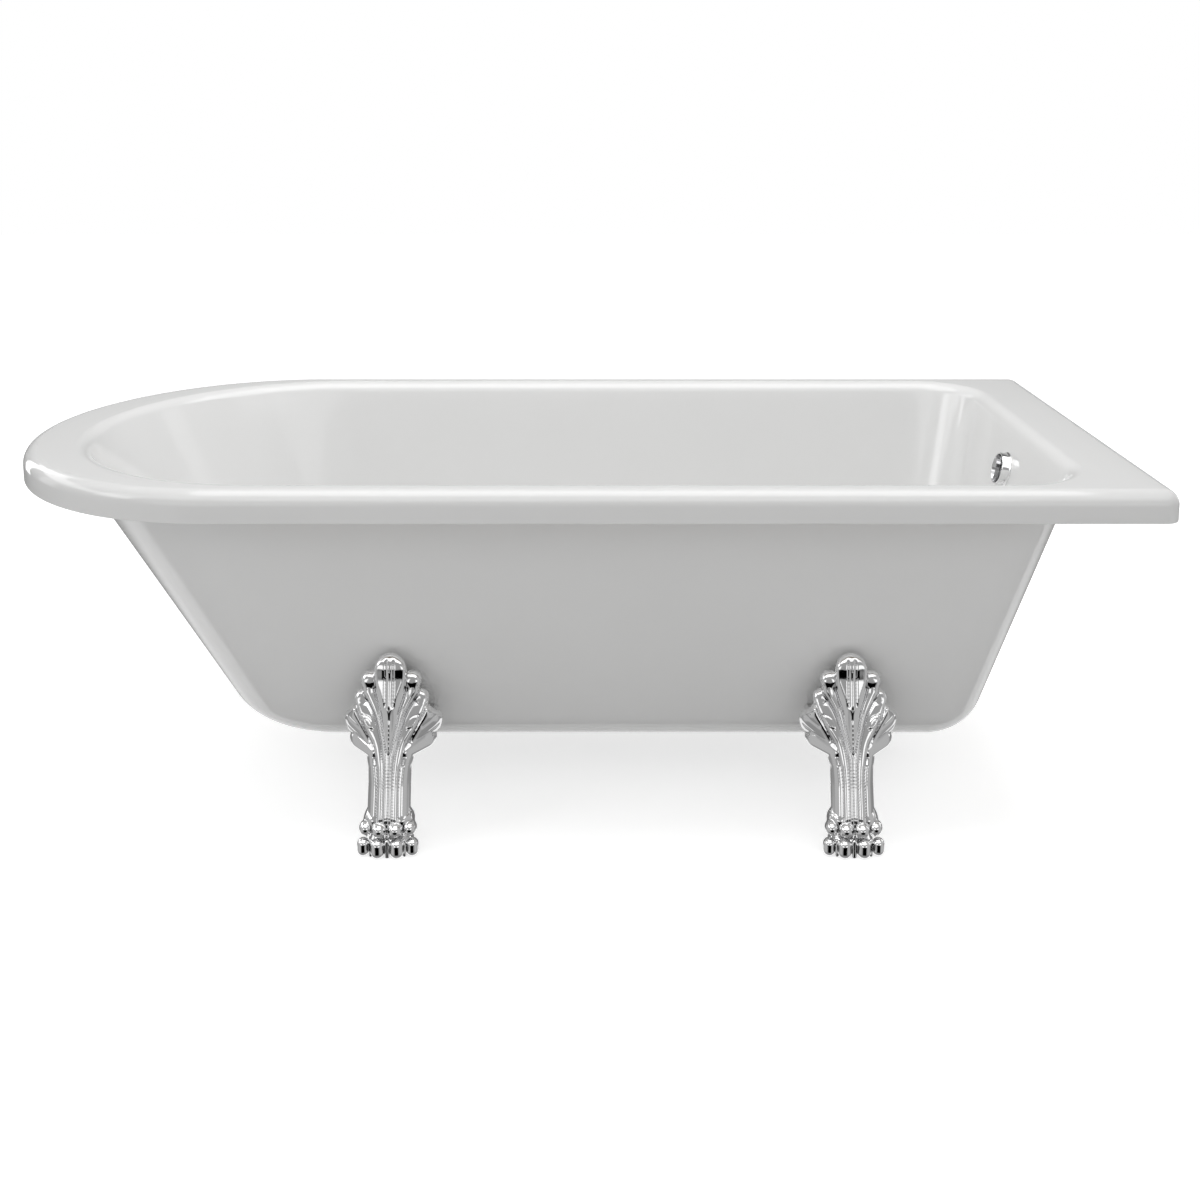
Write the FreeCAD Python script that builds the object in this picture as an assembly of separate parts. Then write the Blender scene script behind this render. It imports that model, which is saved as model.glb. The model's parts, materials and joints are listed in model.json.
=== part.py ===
"""A single-ended bath on four cast claw feet.

The origin is on the floor under the middle of the bath. +X points to the square tap end, the round back rest
end is at -X, and +Z is up. Everything is the same on both sides of the plane Y = 0. Lengths are millimetres.
"""

import FreeCAD, Part
import math
import os

from FreeCAD import Rotation, Vector

# ---- The bath's body ----
BATH_LENGTH = 1700.0
BATH_WIDTH = 750.0
RIM_HEIGHT = 560.0
UNDERSIDE_HEIGHT = 101.0
SIDE_LEAN = math.radians(18.0)
BACK_LEAN = math.radians(30.0)
TAP_LEAN = math.radians(12.6)

# Where the outer skin would meet the rim's top, measured in from the rim's edge
SIDE_INSET = 38.7
BACK_INSET = 59.4
TAP_INSET = 102.2
OUTER_CORNER = 100.0
OUTER_ROUND = 85.0

INNER_SKIN = 5.5
OUTER_SKIN = 4.2
SKIN_GAP = 0.3
BACKREST_HOLLOW = 18.0
CAVITY_CORNER = 92.0
CAVITY_ROUND = 75.0
BOARD_THICKNESS = 18.0
BOARD_MARGIN = 3.0

# ---- The rim ----
RIM_DEPTH = 44.0
RIM_ROUND = 21.0
RIM_PLAN_CORNER = 22.0
MOUTH_ROUND = 25.0
APRON_EDGE = 2.0
RECESS_BEVEL = 10.0
OUTER_SKIN_TOP_DROP = 30.0
LEDGE_THICKNESS = 18.0
LEDGE_WIDTH = 80.0
LEDGE_END_MARGIN = 65.0
LEDGE_INSET = 8.0
BATTEN_INSET = 9.0
BATTEN_WIDTH = 19.0
BATTEN_DEPTH = 25.0
BATTEN_BACK_MARGIN = 430.0
BATTEN_TAP_MARGIN = 150.0

# ---- Waste and plug, on the vertical axis at WASTE_X ----
WASTE_FROM_TAP_FOOT = 120.2
SEAL_THICKNESS = 1.5
SEAL_EDGE = 1.0
WASTE_FLANGE_RADIUS = 35.0
WASTE_FLANGE_EDGE = 1.6
WASTE_DISH_DEPTH = 6.0
WASTE_STEM_RADIUS = 22.5
WASTE_BORE_RADIUS = 19.5
WASTE_STEM_BELOW = 11.0
WASTE_HOLE_CLEARANCE = 1.2
WASTE_BOARD_CLEARANCE = 8.0
THREAD_CLEARANCE = 0.06
WASTE_BODY_WALL = 3.5
WASTE_BODY_FLANGE_RADIUS = 34.0
WASTE_BODY_FLANGE_THICKNESS = 4.0
WASTE_BODY_LENGTH = 49.5
TAIL_RADIUS = 23.9
TAIL_LENGTH = 20.0
HUB_HEIGHT = 12.0
HUB_TOP_DROP = 14.0
HUB_WALL = 2.6
HUB_ARM_WIDTH = 3.0
CARTRIDGE_RADIUS = 7.5
CARTRIDGE_LENGTH = 22.0
CARTRIDGE_COLLAR = 1.5
SPINDLE_RADIUS = 4.0
SPINDLE_LENGTH = 30.0
SPINDLE_CLEARANCE = 0.08
PLUG_RADIUS = 31.0
PLUG_EDGE = 2.2
PLUG_DOME = 4.5
# The cap's outline from its edge to its middle, as shares of its radius and of its dome
PLUG_CURVE = ((1.0, 0.0), (0.8, 0.55), (0.45, 0.9), (0.0, 1.0))
PLUG_SEAT_GAP = 0.3
PLUG_SEAL_RADIUS = 27.0
PLUG_SEAL_WIDTH = 3.5

# ---- Overflow, on an axis square to the tap-end wall ----
OVERFLOW_DROP = 76.0
OVERFLOW_HOLE_RADIUS = 25.5
BEZEL_FLANGE_RADIUS = 29.5
BEZEL_FLANGE_THICKNESS = 2.0
BEZEL_MOUTH_RADIUS = 26.0
BEZEL_PROUD = 14.0
BEZEL_WALL = 2.2
BEZEL_LIP = 1.0
BEZEL_STEM_RADIUS = 23.5
STRAINER_THICKNESS = 2.0
STRAINER_LEVEL = 2.0
STRAINER_HOLE_RADIUS = 3.6
STRAINER_HOLE_CIRCLE = 13.5
STRAINER_HOLES = 8
GASKET_THICKNESS = 3.0
ELBOW_FLANGE_RADIUS = 33.0
ELBOW_FLANGE_THICKNESS = 3.5
ELBOW_RADIUS = 25.0
ELBOW_WALL = 3.0
ELBOW_DEPTH = 38.0
ELBOW_POST_RADIUS = 5.0
OVERFLOW_SCREW_RADIUS = 2.5
OVERFLOW_SCREW_HEAD = 4.8
OVERFLOW_HEAD_HEIGHT = 2.5
OVERFLOW_SCREW_LENGTH = 18.0

# ---- Overflow pipe, outside the tap end ----
PIPE_RADIUS = 12.7
PIPE_WALL = 1.2
PIPE_STANDOFF = 24.0
SOCKET_WALL = 3.2
SOCKET_LENGTH = 24.0
SOCKET_STOP = 6.0
PIPE_NUT_RADIUS = 20.0
PIPE_NUT_LENGTH = 14.0
PIPE_NUT_GRIP = 9.8

# ---- Claw feet, the back pair and the tap pair ----
FOOT_BACK_MARGIN = 603.0
FOOT_TAP_MARGIN = 422.5
FOOT_WALL = 7.0
FOOT_SADDLE_GAP = 0.2
SHAFT_DEPTH = 46.0
SHAFT_FLARE = 8.0
LEAF_ROOT_RISE = 37.0
LEAF_ROOT_RADIUS = 5.0
PAW_HEIGHT = 54.0
PAW_DEPTH = 53.0
TOE_COUNT = 4
TOE_RADIUS = 11.6
TOE_PITCH = 22.0
TOE_SETBACK = 43.5
TOE_SWEEP = 7.0
TOE_SIDE_STEP = 0.4
SADDLE_DEPTH = 12.0
PETAL_SIDES = 12
PETAL_SINK = 0.45
PETAL_CLOSING = 0.8
# Where a section's cheeks turn to its blunt point, as shares of its half width and of its fold
SHOULDER_WIDTH = 0.45
SHOULDER_FOLD = 0.25

# ---- Fixings ----
BRACKET_WIDTH = 38.0
BRACKET_THICKNESS = 6.0
BRACKET_LENGTH = 248.0
BRACKET_MARGIN = 85.0
FOOT_BOLT_MARGIN = 97.0
FOOT_BOLT_RADIUS = 5.0
FOOT_BOLT_DEPTH = 24.0
BASE_SCREW_MARGINS = (313.0, 277.0)
BASE_SCREW_RADIUS = 4.0
BOLT_CLEARANCE = 0.5
BASE_SCREW_LENGTH = 24.0
DRIVEN_CLEARANCE = 0.05
SCREW_FLANGE_THICKNESS = 1.6
SCREW_FLANGE_RADIUS = 9.5
BASE_HEAD_RADIUS = 7.5
BASE_HEAD_HEIGHT = 5.3
FOOT_HEAD_RADIUS = 9.8
FOOT_HEAD_HEIGHT = 6.4

# ---- Levellers ----
LEVELLER_MARGIN = 79.0
LEVELLER_RADIUS = 5.0
LEVELLER_LENGTH = 34.0
BUSH_RADIUS = 8.0
BUSH_LENGTH = 26.0
PAD_RADIUS = 13.0
PAD_THICKNESS = 6.0
PAD_RECESS = 1.0
PAD_SOCKET_DEPTH = 3.0
PAD_CLEARANCE = 1.5
LEVELLER_HEADROOM = 3.0

# Derived levels
CAVITY_FLOOR = UNDERSIDE_HEIGHT + OUTER_SKIN + BOARD_THICKNESS + INNER_SKIN
OUTER_DEPTH = RIM_HEIGHT - UNDERSIDE_HEIGHT
CAVITY_DEPTH = RIM_HEIGHT - CAVITY_FLOOR
SKIN_OFFSET = OUTER_SKIN + SKIN_GAP + INNER_SKIN
RIM_UNDERSIDE = RIM_HEIGHT - RIM_DEPTH
BRACKET_SEAT = UNDERSIDE_HEIGHT - BRACKET_THICKNESS
LEAF_ROOT_HEIGHT = UNDERSIDE_HEIGHT + LEAF_ROOT_RISE
WASTE_STEM_BOTTOM = UNDERSIDE_HEIGHT - WASTE_STEM_BELOW
BODY_TOP = UNDERSIDE_HEIGHT - SEAL_THICKNESS
WASTE_BODY_SHOULDER = BODY_TOP - WASTE_BODY_LENGTH
PIPE_LEVEL = UNDERSIDE_HEIGHT - PIPE_STANDOFF
FLANGE_SEAT = CAVITY_FLOOR + SEAL_THICKNESS
FLANGE_TOP = FLANGE_SEAT + WASTE_FLANGE_EDGE + WASTE_DISH_DEPTH / 2
HUB_TOP = FLANGE_SEAT - HUB_TOP_DROP
PLUG_UNDERSIDE = FLANGE_TOP + PLUG_SEAT_GAP
STUD_BOTTOM = PAD_RECESS + PAD_THICKNESS - PAD_SOCKET_DEPTH
POCKET_TOP = PAD_RECESS + PAD_THICKNESS + PAD_CLEARANCE

# Derived fits
HUB_BORE = CARTRIDGE_RADIUS + THREAD_CLEARANCE
STEM_HOLE = WASTE_STEM_RADIUS + WASTE_HOLE_CLEARANCE
BODY_BORE = WASTE_STEM_RADIUS + THREAD_CLEARANCE
BODY_RADIUS = BODY_BORE + WASTE_BODY_WALL
PIPE_HOLE = PIPE_RADIUS + THREAD_CLEARANCE
SOCKET_RADIUS = PIPE_HOLE + SOCKET_WALL
PIPE_BEND_RADIUS = OUTER_ROUND + PIPE_STANDOFF

# Derived places. A margin runs in from the rim's edge, and a reach runs out from the plane Y = 0
TAP_FOOT_X = BATH_LENGTH / 2 - TAP_INSET - OUTER_DEPTH * math.tan(TAP_LEAN)
WASTE_X = TAP_FOOT_X - WASTE_FROM_TAP_FOOT
FOOT_X = (-BATH_LENGTH / 2 + FOOT_BACK_MARGIN, BATH_LENGTH / 2 - FOOT_TAP_MARGIN)
BRACKET_OUTER = BATH_WIDTH / 2 - BRACKET_MARGIN
BRACKET_INNER = BRACKET_OUTER - BRACKET_LENGTH
FOOT_BOLT_REACH = BATH_WIDTH / 2 - FOOT_BOLT_MARGIN
BASE_SCREW_REACHES = [BATH_WIDTH / 2 - margin for margin in BASE_SCREW_MARGINS]
LEVELLER_REACH = BATH_WIDTH / 2 - LEVELLER_MARGIN
UP = Vector(0, 0, 1)
ALONG = Vector(1, 0, 0)

# An edge this close to a plane lies on it
NEAR = 0.1


def back_cone_angles():
    """Half-angle and tilt of the cone that is tangent to both leaning sides and leans by BACK_LEAN at the back."""
    low, high = 0.0, BACK_LEAN
    for _ in range(50):
        tilt = (low + high) / 2
        half = math.asin(math.cos(tilt) * math.sin(SIDE_LEAN))
        if half + tilt < BACK_LEAN:
            low = tilt
        else:
            high = tilt
    return half, tilt


CONE_HALF_ANGLE, CONE_TILT = back_cone_angles()


class TubForm:
    """A leaning block with a round back end and a rounded bottom, which one face of a skin follows.

    The insets run from the rim's outer edge to where the walls would meet the height of the rim's top.
    """

    def __init__(self, side, back, tap, depth, corner, bottom_round):
        self.side = side
        self.back = back
        self.tap = tap
        self.depth = depth
        self.corner = corner
        self.bottom_round = bottom_round

    def grown(self, skin):
        """The same form with every face moved outwards by skin, or inwards if it is negative."""
        return TubForm(
            self.side - skin / math.cos(SIDE_LEAN),
            self.back - skin / math.cos(BACK_LEAN),
            self.tap - skin / math.cos(TAP_LEAN),
            self.depth + skin,
            self.corner + skin,
            self.bottom_round + skin,
        )

    def half_width(self, drop):
        return BATH_WIDTH / 2 - self.side - drop * math.tan(SIDE_LEAN)

    def tap_x(self, drop):
        return BATH_LENGTH / 2 - self.tap - drop * math.tan(TAP_LEAN)

    def back_x(self, drop):
        return -BATH_LENGTH / 2 + self.back + drop * math.tan(BACK_LEAN)

    def round_inset(self, lean):
        """How far in from the wall's foot, drawn down to the floor, the flat floor begins."""
        return self.bottom_round * math.tan((math.pi / 2 - lean) / 2)

    def flat_half_width(self):
        return self.half_width(self.depth) - self.round_inset(SIDE_LEAN)

    def flat_tap_x(self):
        return self.tap_x(self.depth) - self.round_inset(TAP_LEAN)

    def flat_back_x(self):
        return self.back_x(self.depth) + self.round_inset(BACK_LEAN)

    def solid(self, rise=0.0):
        """The block from its floor to rise above the rim's top."""
        floor = RIM_HEIGHT - self.depth
        top = RIM_HEIGHT + rise
        apex_drop = (BATH_WIDTH / 2 - self.side) / math.tan(SIDE_LEAN)
        apex = Vector(self.back_x(apex_drop), 0, RIM_HEIGHT - apex_drop)
        axis = Vector(-math.sin(CONE_TILT), 0, math.cos(CONE_TILT))
        side_normal = Vector(0, math.cos(SIDE_LEAN), -math.sin(SIDE_LEAN))
        tangent = axis - side_normal * axis.dot(side_normal)
        seam_slope = tangent.x / tangent.z

        def seam_x(z):
            return apex.x + (z - apex.z) * seam_slope

        def level(z):
            drop = RIM_HEIGHT - z
            side = self.half_width(drop)
            return [
                Vector(seam_x(z), -side, z),
                Vector(self.tap_x(drop), -side, z),
                Vector(self.tap_x(drop), side, z),
                Vector(seam_x(z), side, z),
            ]

        wedge = prismoid(level(floor), level(top))
        cone_height = 2 * (top - apex.z)
        cone = Part.makeCone(0, cone_height * math.tan(CONE_HALF_ANGLE), cone_height, apex, axis)
        beyond = -BATH_LENGTH
        seam_block = Part.Face(
            Part.makePolygon(
                [
                    Vector(seam_x(floor), -BATH_WIDTH, floor),
                    Vector(seam_x(top), -BATH_WIDTH, top),
                    Vector(beyond, -BATH_WIDTH, top),
                    Vector(beyond, -BATH_WIDTH, floor),
                    Vector(seam_x(floor), -BATH_WIDTH, floor),
                ]
            )
        ).extrude(Vector(0, 2 * BATH_WIDTH, 0))
        block = wedge.fuse(cone.common(seam_block)).removeSplitter()
        corners = [edge for edge in block.Edges if self.is_tap_corner(edge)]
        block = block.makeFillet(self.corner, corners)
        return block.makeFillet(self.bottom_round, level_edges(block, floor))

    def is_tap_corner(self, edge):
        heights = [vertex.Z for vertex in edge.Vertexes]
        beside = all(vertex.X > 0 for vertex in edge.Vertexes)
        return beside and max(heights) - min(heights) > self.depth / 2


def prismoid(bottom, top):
    """A solid with flat faces between two polygons that have as many corners."""
    faces = [Part.Face(Part.makePolygon(end + end[:1])) for end in (bottom, top)]
    for i in range(len(bottom)):
        j = (i + 1) % len(bottom)
        side = [bottom[i], bottom[j], top[j], top[i], bottom[i]]
        faces.append(Part.Face(Part.makePolygon(side)))
    solid = Part.makeSolid(Part.makeShell(faces))
    if solid.Volume < 0:
        solid.reverse()
    return solid


def level_edges(shape, height):
    """The edges of a shape that lie at one height."""
    return [
        edge
        for edge in shape.Edges
        if abs(edge.BoundBox.ZMin - height) < NEAR and abs(edge.BoundBox.ZMax - height) < NEAR
    ]


def cylinder(radius, bottom, top, x=0.0, y=0.0):
    return Part.makeCylinder(radius, top - bottom, Vector(x, y, bottom), UP)


def ring(outer, inner, bottom, top, x=0.0, y=0.0):
    return cylinder(outer, bottom, top, x, y).cut(cylinder(inner, bottom, top, x, y))


def turned(profile, x=0.0):
    """A turned piece: (radius, height) corners spun about the vertical axis at x."""
    corners = [Vector(radius, 0, height) for radius, height in profile]
    face = Part.Face(Part.makePolygon(corners + corners[:1]))
    piece = face.revolve(Vector(0, 0, 0), UP, 360)
    piece.translate(Vector(x, 0, 0))
    return piece


def hexagon_prism(radius, bottom, top, y=0.0):
    corners = []
    for turn in range(0, 360, 60):
        across = radius * math.cos(math.radians(turn))
        out = radius * math.sin(math.radians(turn))
        corners.append(Vector(across, y + out, bottom))
    return Part.Face(Part.makePolygon(corners + corners[:1])).extrude(Vector(0, 0, top - bottom))


# ---- Forms of the two skins ----
OUTER_FORM = TubForm(SIDE_INSET, BACK_INSET, TAP_INSET, OUTER_DEPTH, OUTER_CORNER, OUTER_ROUND)
CAVITY_FORM = TubForm(
    SIDE_INSET + SKIN_OFFSET / math.cos(SIDE_LEAN),
    BACK_INSET + (SKIN_OFFSET + BACKREST_HOLLOW) / math.cos(BACK_LEAN),
    TAP_INSET + SKIN_OFFSET / math.cos(TAP_LEAN),
    CAVITY_DEPTH,
    CAVITY_CORNER,
    CAVITY_ROUND,
)


def rim_block(inset, bottom, top):
    """A slab with the rim's plan, moved in by inset."""
    half = BATH_WIDTH / 2 - inset
    back = -BATH_LENGTH / 2 + inset
    tap = BATH_LENGTH / 2 - inset
    corner = RIM_PLAN_CORNER - inset
    knee = corner * (1 - math.sqrt(0.5))
    middle = back + half
    edges = [
        Part.LineSegment(Vector(middle, -half, bottom), Vector(tap - corner, -half, bottom)),
        Part.Arc(
            Vector(tap - corner, -half, bottom),
            Vector(tap - knee, -half + knee, bottom),
            Vector(tap, -half + corner, bottom),
        ),
        Part.LineSegment(Vector(tap, -half + corner, bottom), Vector(tap, half - corner, bottom)),
        Part.Arc(
            Vector(tap, half - corner, bottom),
            Vector(tap - knee, half - knee, bottom),
            Vector(tap - corner, half, bottom),
        ),
        Part.LineSegment(Vector(tap - corner, half, bottom), Vector(middle, half, bottom)),
        Part.Arc(Vector(middle, half, bottom), Vector(back, 0, bottom), Vector(middle, -half, bottom)),
    ]
    plan = Part.Face(Part.Wire([edge.toShape() for edge in edges]))
    return plan.extrude(Vector(0, 0, top - bottom))


def mouth_edges(shape, height, inset):
    """The edges at one height that bound the bath's mouth, not the rim's outside."""
    limit = BATH_WIDTH / 2 - inset
    return [
        edge
        for edge in level_edges(shape, height)
        if max(abs(edge.BoundBox.YMin), abs(edge.BoundBox.YMax)) < limit
        and edge.BoundBox.XMax < BATH_LENGTH / 2 - inset
    ]


def overflow_place():
    """The point of the cavity's tap-end wall where the overflow's axis crosses it."""
    return Vector(CAVITY_FORM.tap_x(OVERFLOW_DROP), 0, RIM_HEIGHT - OVERFLOW_DROP)


def set_on_tap_wall(piece):
    """Moves a piece drawn about the Z axis, with +Z out of the bath, onto the overflow's axis."""
    piece.rotate(Vector(0, 0, 0), Vector(0, 1, 0), 90 + math.degrees(TAP_LEAN))
    piece.translate(overflow_place())
    return piece


def inner_shell():
    grown = CAVITY_FORM.grown(INNER_SKIN)
    cavity = CAVITY_FORM.solid(1.0)
    slab = rim_block(0.0, RIM_UNDERSIDE, RIM_HEIGHT)
    slab = slab.makeFillet(RIM_ROUND, level_edges(slab, RIM_HEIGHT))
    body = slab.fuse(grown.solid()).cut(cavity)
    body = body.makeFillet(MOUTH_ROUND, mouth_edges(body, RIM_HEIGHT, RIM_ROUND + APRON_EDGE))
    recess_top = RIM_HEIGHT - INNER_SKIN
    recess = rim_block(INNER_SKIN, RIM_UNDERSIDE - 1.0, recess_top)
    recess = recess.cut(grown.solid(1.0))
    recess = recess.makeChamfer(RECESS_BEVEL, level_edges(recess, recess_top))
    shell = body.cut(recess)
    shell = shell.cut(cylinder(STEM_HOLE, UNDERSIDE_HEIGHT, RIM_HEIGHT, WASTE_X))
    return shell.cut(set_on_tap_wall(cylinder(OVERFLOW_HOLE_RADIUS, -MOUTH_ROUND, MOUTH_ROUND)))


def outer_shell():
    block = OUTER_FORM.solid()
    hollow = OUTER_FORM.grown(-OUTER_SKIN).solid(1.0)
    corner = Vector(-BATH_LENGTH, -BATH_WIDTH, RIM_HEIGHT - OUTER_SKIN_TOP_DROP)
    above = Part.makeBox(2 * BATH_LENGTH, 2 * BATH_WIDTH, RIM_DEPTH, corner)
    shell = block.cut(hollow).cut(above)
    shell = shell.cut(cylinder(STEM_HOLE, 0, CAVITY_FLOOR, WASTE_X))
    shell = shell.cut(set_on_tap_wall(cylinder(OVERFLOW_HOLE_RADIUS, -MOUTH_ROUND, MOUTH_ROUND)))
    for x, y in base_screw_places():
        shell = shell.cut(cylinder(BASE_SCREW_RADIUS + BOLT_CLEARANCE, 0, CAVITY_FLOOR, x, y))
    return shell


def base_board():
    """The board between the two skins, under the flat floor."""
    forms = (OUTER_FORM.grown(-OUTER_SKIN), CAVITY_FORM.grown(INNER_SKIN))
    half = min(form.flat_half_width() for form in forms) - BOARD_MARGIN
    back = max(form.flat_back_x() for form in forms) + BOARD_MARGIN
    tap = min(form.flat_tap_x() for form in forms) - BOARD_MARGIN
    bottom = UNDERSIDE_HEIGHT + OUTER_SKIN
    middle = back + half
    straight = Part.makeBox(tap - middle, 2 * half, BOARD_THICKNESS, Vector(middle, -half, bottom))
    board = straight.fuse(cylinder(half, bottom, bottom + BOARD_THICKNESS, middle)).removeSplitter()
    corner = OUTER_CORNER / 2
    upright = [edge for edge in board.Edges if edge.BoundBox.XMin > tap - NEAR and edge.BoundBox.YLength < NEAR]
    board = board.makeFillet(corner, upright)
    waste_hole = WASTE_STEM_RADIUS + WASTE_BOARD_CLEARANCE
    board = board.cut(cylinder(waste_hole, 0, CAVITY_FLOOR, WASTE_X))
    pilot_top = BRACKET_SEAT + BASE_SCREW_LENGTH
    for x, y in base_screw_places():
        board = board.cut(cylinder(BASE_SCREW_RADIUS + DRIVEN_CLEARANCE, 0, pilot_top, x, y))
    return board


def strip_profile(edge, inset, width, depth):
    """Section of a strip under the rim, as (across, height), bevelled to clear the rim's round."""
    top = RIM_HEIGHT - INNER_SKIN
    bevel = RIM_ROUND - inset
    outer = edge - inset
    inner = outer - width
    bottom = top - depth
    return [(inner, bottom), (outer, bottom), (outer, top - bevel), (outer - bevel, top), (inner, top)]


def tap_ledge_board():
    profile = strip_profile(BATH_LENGTH / 2, LEDGE_INSET, LEDGE_WIDTH, LEDGE_THICKNESS)
    half = BATH_WIDTH / 2 - LEDGE_END_MARGIN
    corners = [Vector(x, -half, z) for x, z in profile]
    return Part.Face(Part.makePolygon(corners + corners[:1])).extrude(Vector(0, 2 * half, 0))


def rim_batten(side):
    """The stiffening strip under one long side of the rim."""
    profile = strip_profile(BATH_WIDTH / 2, BATTEN_INSET, BATTEN_WIDTH, BATTEN_DEPTH)
    start = -BATH_LENGTH / 2 + BATTEN_BACK_MARGIN
    end = BATH_LENGTH / 2 - BATTEN_TAP_MARGIN
    corners = [Vector(start, side * y, z) for y, z in profile]
    return Part.Face(Part.makePolygon(corners + corners[:1])).extrude(Vector(end - start, 0, 0))


# ---- Waste and plug ----
def waste_flange():
    """The dished flange with its threaded stem and the spider that carries the plug."""
    dish = WASTE_FLANGE_RADIUS - WASTE_STEM_RADIUS
    body = turned(
        [
            (WASTE_BORE_RADIUS, WASTE_STEM_BOTTOM),
            (WASTE_STEM_RADIUS, WASTE_STEM_BOTTOM),
            (WASTE_STEM_RADIUS, FLANGE_SEAT),
            (WASTE_FLANGE_RADIUS, FLANGE_SEAT),
            (WASTE_FLANGE_RADIUS, FLANGE_SEAT + WASTE_FLANGE_EDGE),
            (WASTE_FLANGE_RADIUS - dish / 4, FLANGE_TOP),
            (WASTE_BORE_RADIUS + dish / 2, FLANGE_TOP - WASTE_DISH_DEPTH / 2),
            (WASTE_BORE_RADIUS, FLANGE_TOP - WASTE_DISH_DEPTH),
        ],
        WASTE_X,
    )
    hub = ring(HUB_BORE + HUB_WALL, HUB_BORE, HUB_TOP - HUB_HEIGHT, HUB_TOP, WASTE_X)
    reach = WASTE_BORE_RADIUS + (WASTE_STEM_RADIUS - WASTE_BORE_RADIUS) / 2
    start = HUB_BORE + HUB_WALL / 2
    for turn in (0, 120, 240):
        corner = Vector(start, -HUB_ARM_WIDTH / 2, HUB_TOP - HUB_HEIGHT)
        arm = Part.makeBox(reach - start, HUB_ARM_WIDTH, HUB_HEIGHT / 2, corner)
        arm.rotate(Vector(0, 0, 0), UP, turn)
        arm.translate(Vector(WASTE_X, 0, 0))
        hub = hub.fuse(arm)
    return body.fuse(hub)


def waste_flange_seal():
    return ring(WASTE_FLANGE_RADIUS - SEAL_EDGE, BODY_BORE, CAVITY_FLOOR, FLANGE_SEAT, WASTE_X)


def waste_body_seal():
    return ring(WASTE_BODY_FLANGE_RADIUS, BODY_BORE, BODY_TOP, UNDERSIDE_HEIGHT, WASTE_X)


def waste_body():
    """The tee under the bath: flange, bore, side socket for the overflow pipe and the threaded tail."""
    bottom = WASTE_BODY_SHOULDER - TAIL_LENGTH
    tee = cylinder(BODY_RADIUS, WASTE_BODY_SHOULDER, BODY_TOP, WASTE_X)
    tee = tee.fuse(cylinder(WASTE_BODY_FLANGE_RADIUS, BODY_TOP - WASTE_BODY_FLANGE_THICKNESS, BODY_TOP, WASTE_X))
    tee = tee.fuse(cylinder(TAIL_RADIUS, bottom, WASTE_BODY_SHOULDER, WASTE_X))
    start = Vector(WASTE_X, 0, PIPE_LEVEL)
    tee = tee.fuse(Part.makeCylinder(SOCKET_RADIUS, BODY_RADIUS + SOCKET_LENGTH, start, ALONG))
    tee = tee.cut(cylinder(BODY_BORE, WASTE_STEM_BOTTOM - SEAL_EDGE, BODY_TOP, WASTE_X))
    tee = tee.cut(cylinder(WASTE_BORE_RADIUS, bottom, WASTE_STEM_BOTTOM, WASTE_X))
    stop = start + ALONG * (BODY_RADIUS + SOCKET_STOP)
    tee = tee.cut(Part.makeCylinder(PIPE_HOLE, SOCKET_LENGTH, stop, ALONG))
    return tee.cut(Part.makeCylinder(PIPE_RADIUS - PIPE_WALL, BODY_RADIUS + SOCKET_LENGTH, start, ALONG))


def plug_cartridge():
    """The clicker's fixed sleeve, screwed into the spider."""
    top = HUB_TOP
    sleeve = ring(CARTRIDGE_RADIUS, SPINDLE_RADIUS + SPINDLE_CLEARANCE, top - CARTRIDGE_LENGTH, top, WASTE_X)
    collar = HUB_BORE + HUB_WALL
    return sleeve.fuse(ring(collar, SPINDLE_RADIUS + SPINDLE_CLEARANCE, top, top + CARTRIDGE_COLLAR, WASTE_X))


def plug_cap():
    """The domed cap."""
    edge = PLUG_UNDERSIDE + PLUG_EDGE
    outline = [(PLUG_RADIUS * reach, edge + PLUG_DOME * rise) for reach, rise in PLUG_CURVE]
    return turned([(0, PLUG_UNDERSIDE), (PLUG_RADIUS, PLUG_UNDERSIDE)] + outline, WASTE_X)


def dish_height(radius):
    """Height of the flange's dish at a radius on its upper slope."""
    dish = WASTE_FLANGE_RADIUS - WASTE_STEM_RADIUS
    lip = WASTE_FLANGE_RADIUS - dish / 4
    share = (lip - radius) / (lip - WASTE_BORE_RADIUS - dish / 2)
    return FLANGE_TOP - share * WASTE_DISH_DEPTH / 2


def plug_seal():
    """The seal ring, which hangs under the cap just clear of the dish."""
    bottom = dish_height(PLUG_SEAL_RADIUS) + PLUG_SEAT_GAP
    return ring(PLUG_SEAL_RADIUS, PLUG_SEAL_RADIUS - PLUG_SEAL_WIDTH, bottom, PLUG_UNDERSIDE, WASTE_X)


def plug_spindle():
    return cylinder(SPINDLE_RADIUS, PLUG_UNDERSIDE - SPINDLE_LENGTH, PLUG_UNDERSIDE, WASTE_X)


# ---- Overflow, drawn about the Z axis with +Z out through the wall ----
ELBOW_START = SKIN_OFFSET + GASKET_THICKNESS
ELBOW_END = ELBOW_START + ELBOW_DEPTH


def overflow_bezel():
    """The chrome ring: a thin flange on the wall, a cone out to the mouth and a stem through the wall."""
    inner_mouth = BEZEL_MOUTH_RADIUS - BEZEL_WALL
    bore = BEZEL_STEM_RADIUS - BEZEL_WALL
    piece = turned(
        [
            (bore, SKIN_OFFSET / 2),
            (BEZEL_STEM_RADIUS, SKIN_OFFSET / 2),
            (BEZEL_STEM_RADIUS, 0),
            (BEZEL_FLANGE_RADIUS, 0),
            (BEZEL_FLANGE_RADIUS, -BEZEL_FLANGE_THICKNESS),
            (BEZEL_FLANGE_RADIUS - BEZEL_FLANGE_THICKNESS, -BEZEL_FLANGE_THICKNESS - BEZEL_LIP),
            (BEZEL_MOUTH_RADIUS, -BEZEL_PROUD),
            (inner_mouth, -BEZEL_PROUD),
            (bore, -BEZEL_FLANGE_THICKNESS),
        ]
    )
    return set_on_tap_wall(piece)


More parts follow.
